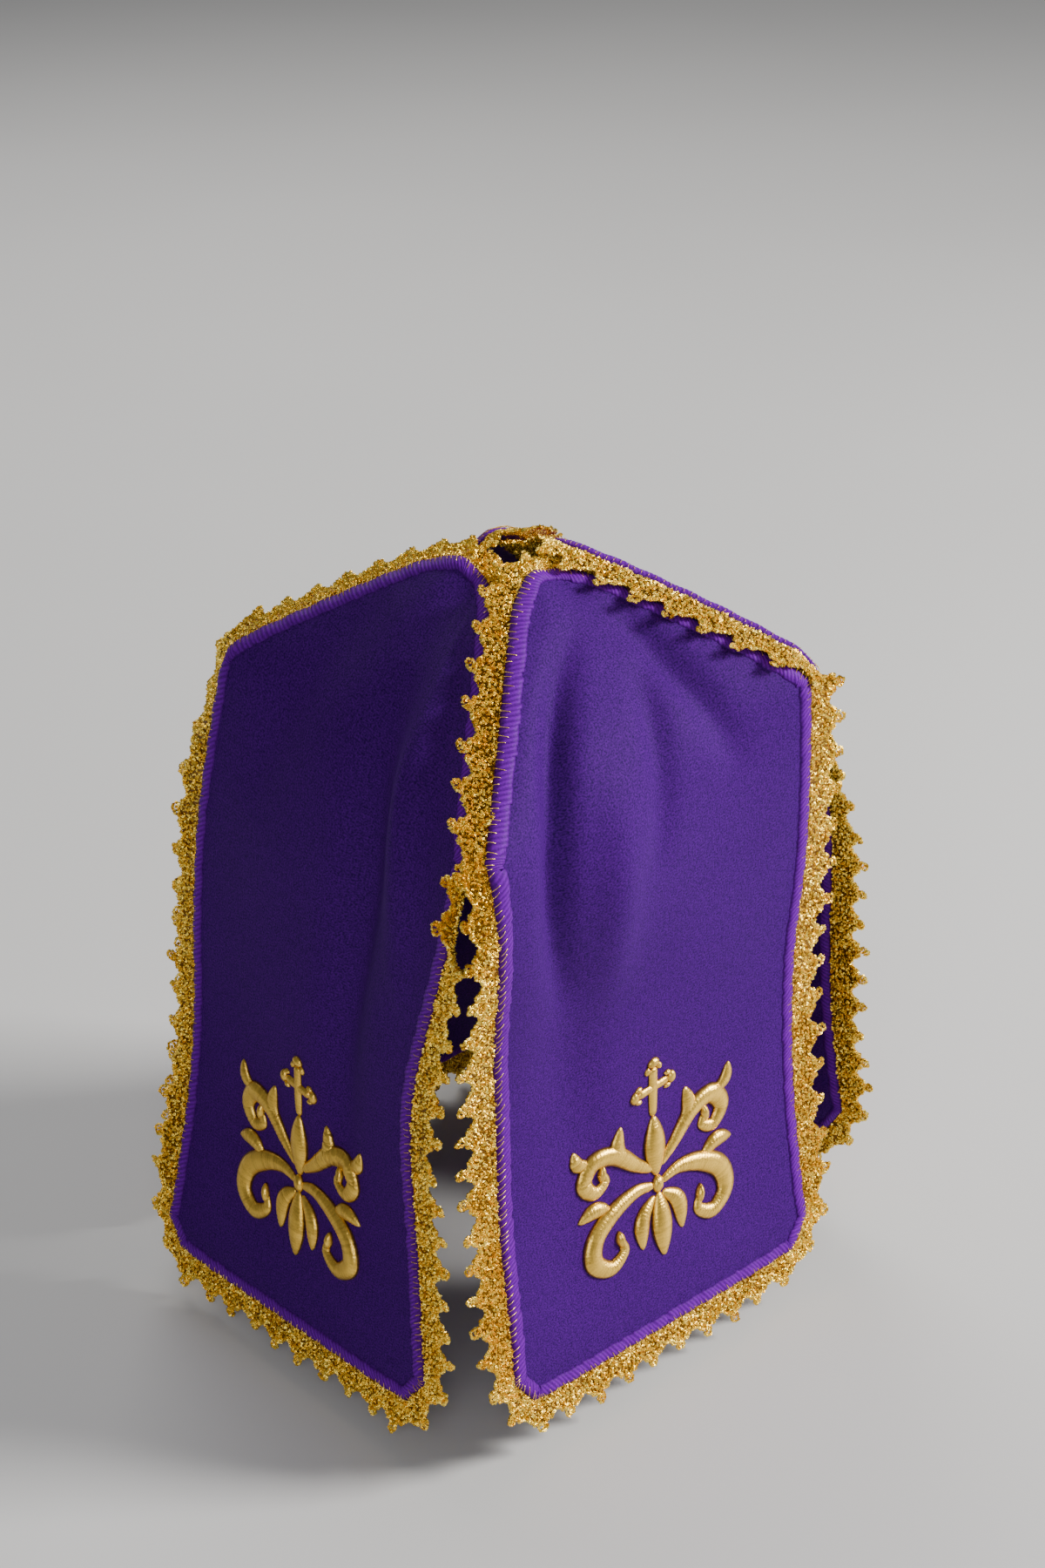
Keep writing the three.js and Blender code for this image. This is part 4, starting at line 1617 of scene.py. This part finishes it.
@dataclass
class Embroidery:
    """A raised gold ornament on a panel: a small lobed cross over mirrored scrolls and leaves."""

    side: Side
    drape: Drape
    seed: int
    centre_length: float = 171
    centre_across: float = 0.5
    step: float = 0.3
    cloth_half: float = 0.5
    rise_share: float = 0.27
    stitch_pitch: float = 0.9
    stitch_rise: float = 0.13
    slant: float = 0.4
    boldness: float = 1.3
    size_share: float = 0.92
    swell_power: float = 0.8
    blunt_from: float = 2
    point_round: float = 1.2
    most_round: float = 3.0
    least_width: float = 0.03
    places: tuple[float, ...] = (-1.0, -0.88, -0.55, 0.0, 0.55, 0.88, 1.0)
    thread_run: int = 3
    thread_scatter: float = 0.09
    sink: float = 0.15
    padding: float = 0.25
    # Weights of the ornament's painted shade: a least value, the painted highlight on each stroke's crest and
    # on its stitches' ridges.
    shade_least: float = 0.3
    shade_dome: float = 0.3
    shade_stitch: float = 0.18
    flat_spread: float = 2

    def _sew(self, parts: MeshParts, stroke: Stroke, mirror: int, rng: np.random.Generator) -> None:
        """Sews one stroke.

        Args:
            parts: Where the stroke's mesh goes.
            stroke: The stroke.
            mirror: 1, or -1 for its mirror image.
            rng: Draws of the threads' shades.
        """
        line = stroke.line(self.step) * np.array([mirror, 1.0]) * self.size_share
        count = len(line)
        along = unit(np.gradient(line, axis=0))
        aside = np.stack([along[:, 1], -along[:, 0]], -1)
        share = np.linspace(0, 1, count)
        first, middle, last = (self.boldness * width for width in stroke.widths)
        swell = np.sin(np.pi * share) ** self.swell_power
        width = mix(mix(first, last, share), middle, swell)
        walked = share * np.linalg.norm(np.diff(line, axis=0), axis=1).sum()
        end = np.minimum(walked, walked[-1] - walked)
        cap = min(first if first > self.blunt_from else self.point_round, self.most_round) / 2
        width = width * np.sqrt(np.clip(1 - (1 - np.clip(end / cap, 0, 1)) ** 2, self.least_width, 1))
        section = np.array(self.places)
        draws = rng.normal(0, self.thread_scatter, count // self.thread_run + 1)
        thread = np.repeat(draws, self.thread_run)[:count]
        columns, shades = [], []
        for x in section:
            place = line + aside * (x * width / 2)[:, None]
            length = self.centre_length - place[:, 1]
            across = self.centre_across + place[:, 0]
            points, normal = self.drape.surface(self.side, length, across)
            dome = math.sqrt(max(1 - x * x, 0))
            ridge = 0.5 + 0.5 * np.cos(math.tau * (walked + self.slant * x * width) / self.stitch_pitch)
            rise = dome * (self.padding + self.rise_share * width + self.stitch_rise * ridge)
            lift = self.cloth_half - self.sink + rise
            columns.append(points + normal * lift[:, None])
            # Painted shade and highlight: darker on the stroke's sides and between its stitches, lighter on
            # its crest; the thread term adds random tone.
            shades.append(self.shade_least + self.shade_dome * dome + self.shade_stitch * ridge + thread)
        ring = np.stack(columns, 1)
        faces = strip_faces(count, len(section), False, True)[:, ::-1]
        flat = np.stack([np.repeat(walked, len(section)), np.tile(section * self.flat_spread, count)], -1)
        last_row = (count - 1) * len(section)
        fan = np.arange(1, len(section) - 1)
        end_cap = last_row + np.stack([np.zeros_like(fan), fan, fan + 1], -1)
        start_cap = np.stack([fan + 1, fan, np.zeros_like(fan)], -1)
        caps = np.concatenate([start_cap, end_cap])
        shade = np.clip(np.stack(shades, 1).ravel(), 0, 1)
        base = parts.count
        parts.add(ring.reshape(-1, 3), faces, shade, flat)
        parts.add_faces(caps + base)

    def build(self) -> bpy.types.Object:
        """Makes the ornament.

        Returns:
            The ornament's object.
        """
        rng = np.random.default_rng(self.seed)
        parts = MeshParts()
        for stroke in STROKES:
            self._sew(parts, stroke, 1, rng)
            if stroke.mirrored:
                self._sew(parts, stroke, -1, rng)
        return parts.make(f"ornament_{self.side.label}")

    def dress(self, piece: bpy.types.Object, finish: bpy.types.Material) -> None:
        """Gives the ornament its finish and its place in the frame."""
        fit(piece, finish)


@dataclass(frozen=True)
class AreaLamp:
    """A soft square lamp aimed at the veil's middle: its place and size in metres, its power in watts."""

    name: str
    place: tuple[float, float, float]
    size: float
    power: float
    colour: tuple[float, float, float]

    def build(self, aim: Vector) -> None:
        """Makes the lamp and turns it to its aim.

        Args:
            aim: The point that it faces, in metres.
        """
        data = bpy.data.lights.new(self.name, "AREA")
        data.size = self.size
        data.energy = self.power
        data.color = self.colour
        lamp = bpy.data.objects.new(self.name, data)
        lamp.location = self.place
        lamp.rotation_euler = (aim - lamp.location).to_track_quat("-Z", "Y").to_euler()
        bpy.context.scene.collection.objects.link(lamp)


LAMPS = [
    AreaLamp("key", (0.95, -0.72, 0.60), 0.4, 35.0, (1.0, 0.97, 0.93)),
    AreaLamp("fill", (-0.80, -0.85, 0.55), 0.6, 5.0, (0.95, 0.96, 1.0)),
    AreaLamp("back", (0.35, 0.95, 0.75), 0.8, 7.0, (1.0, 0.98, 0.95)),
]


@dataclass
class Studio:
    """A pale floor, soft lamps and the camera. Places are in metres and angles in degrees."""

    floor_gap: float = 0.0006
    floor_half: float = 4.0
    floor_dark: float = 0.64
    floor_pale: float = 0.67
    floor_dark_at: float = 0.3
    floor_pale_at: float = 0.7
    floor_patch: float = 3.0
    floor_roughness: float = 0.6
    camera_place: tuple[float, float, float] = (-0.3697, -0.4620, 0.2461)
    camera_pitch: float = 27.67
    camera_heading: float = 38.94
    lens: float = 62.14
    sensor: float = 36.0
    nearest: float = 0.01
    aim: tuple[float, float, float] = (0.0, 0.0, -0.1)
    world: tuple[float, float, float] = (0.86, 0.87, 0.90)
    world_strength: float = 0.18

    def build_floor(self) -> None:
        """Makes the floor, just under the lowest lace."""
        low = CAD_BOX[0][2] - self.floor_gap
        half = self.floor_half
        mesh = bpy.data.meshes.new("floor")
        corners = [(-half, -half, low), (half, -half, low), (half, half, low), (-half, half, low)]
        mesh.from_pydata(corners, [], [(0, 1, 2, 3)])
        floor = bpy.data.objects.new("floor", mesh)
        bpy.context.scene.collection.objects.link(floor)
        nodes = Nodes("floor")
        place = nodes.add("ShaderNodeTexCoord", {}).outputs["Object"]
        noise = nodes.add("ShaderNodeTexNoise", {}, Vector=place, Scale=self.floor_patch, Detail=2.0)
        stops = [(self.floor_dark_at, (self.floor_dark,) * 3), (self.floor_pale_at, (self.floor_pale,) * 3)]
        nodes.shade(Base_Color=nodes.ramp(noise.outputs["Fac"], stops), Roughness=self.floor_roughness)
        mesh.materials.append(nodes.material)

    def build_light(self) -> None:
        """Sets the sky's even light and the lamps."""
        world = bpy.data.worlds.new("studio")
        world.use_nodes = True
        background = world.node_tree.nodes["Background"]
        background.inputs["Color"].default_value = (*self.world, 1)
        background.inputs["Strength"].default_value = self.world_strength
        bpy.context.scene.world = world
        for lamp in LAMPS:
            lamp.build(Vector(self.aim))

    def build_camera(self) -> None:
        """Sets the camera where the photograph was taken from."""
        data = bpy.data.cameras.new("camera")
        data.lens = self.lens
        data.sensor_width = self.sensor
        data.clip_start = self.nearest
        camera = bpy.data.objects.new("camera", data)
        camera.location = self.camera_place
        tilt = math.radians(90 - self.camera_pitch)
        camera.rotation_euler = (tilt, 0, math.radians(-self.camera_heading))
        bpy.context.scene.collection.objects.link(camera)
        bpy.context.scene.camera = camera


@dataclass(frozen=True)
class Materials:
    """The veil's materials, made once and shared by its panels."""

    cloth: bpy.types.Material
    lace: bpy.types.Material
    gold_thread: bpy.types.Material
    violet_thread: bpy.types.Material


@dataclass
class SewnPanel:
    """One panel with all that is sewn to it."""

    side: Side
    drape: Drape
    border: Border
    materials: Materials
    lace_seed: int = 40
    edge_seed: int = 200
    ornament_seed: int = 300
    seed_step: int = 10

    def build(self) -> list[bpy.types.Object]:
        """Returns:
            The cloth, then what is sewn to it.
        """
        own = self.seed_step * self.side.value
        panel = ClothPanel(self.side, self.drape)
        cloth = panel.build()
        panel.dress(cloth, self.materials.cloth)
        border = LaceBorder(self.side, self.border, seed=self.lace_seed + own)
        lace = border.build()
        border.dress(lace, self.materials.lace)
        edge = OvercastEdge(self.side, self.border, seed=self.edge_seed + own)
        band = edge.build_band()
        edge.dress(band, self.materials.violet_thread, Slot.VIOLET_THREAD)
        ties = edge.build_loops()
        edge.dress(ties, self.materials.gold_thread, Slot.GOLD_THREAD)
        embroidery = Embroidery(self.side, self.drape, seed=self.ornament_seed + own)
        ornament = embroidery.build()
        embroidery.dress(ornament, self.materials.gold_thread)
        cut = self.drape.cut
        cut.area() * MM * MM
        return [cloth, lace, band, ties, ornament]


def main() -> None:
    """Builds the panels in order round the veil and reports each piece, then sets up the studio."""
    logging.basicConfig(level=logging.INFO, format="%(name)s %(message)s")
    drape = Drape()
    border = Border(drape)
    finishes = (ClothFinish(), LaceFinish(), GOLD_THREAD, VIOLET_THREAD)
    materials = Materials(*[finish.make() for finish in finishes])
    for side in Side:
        for piece in SewnPanel(side, drape, border, materials).build():
            points, faces = len(piece.data.vertices), len(piece.data.polygons)
            LOG.info("%s: %d points, %d faces", piece.name, points, faces)
    studio = Studio()
    studio.build_floor()
    studio.build_light()
    studio.build_camera()


if __name__ == "__main__":
    main()
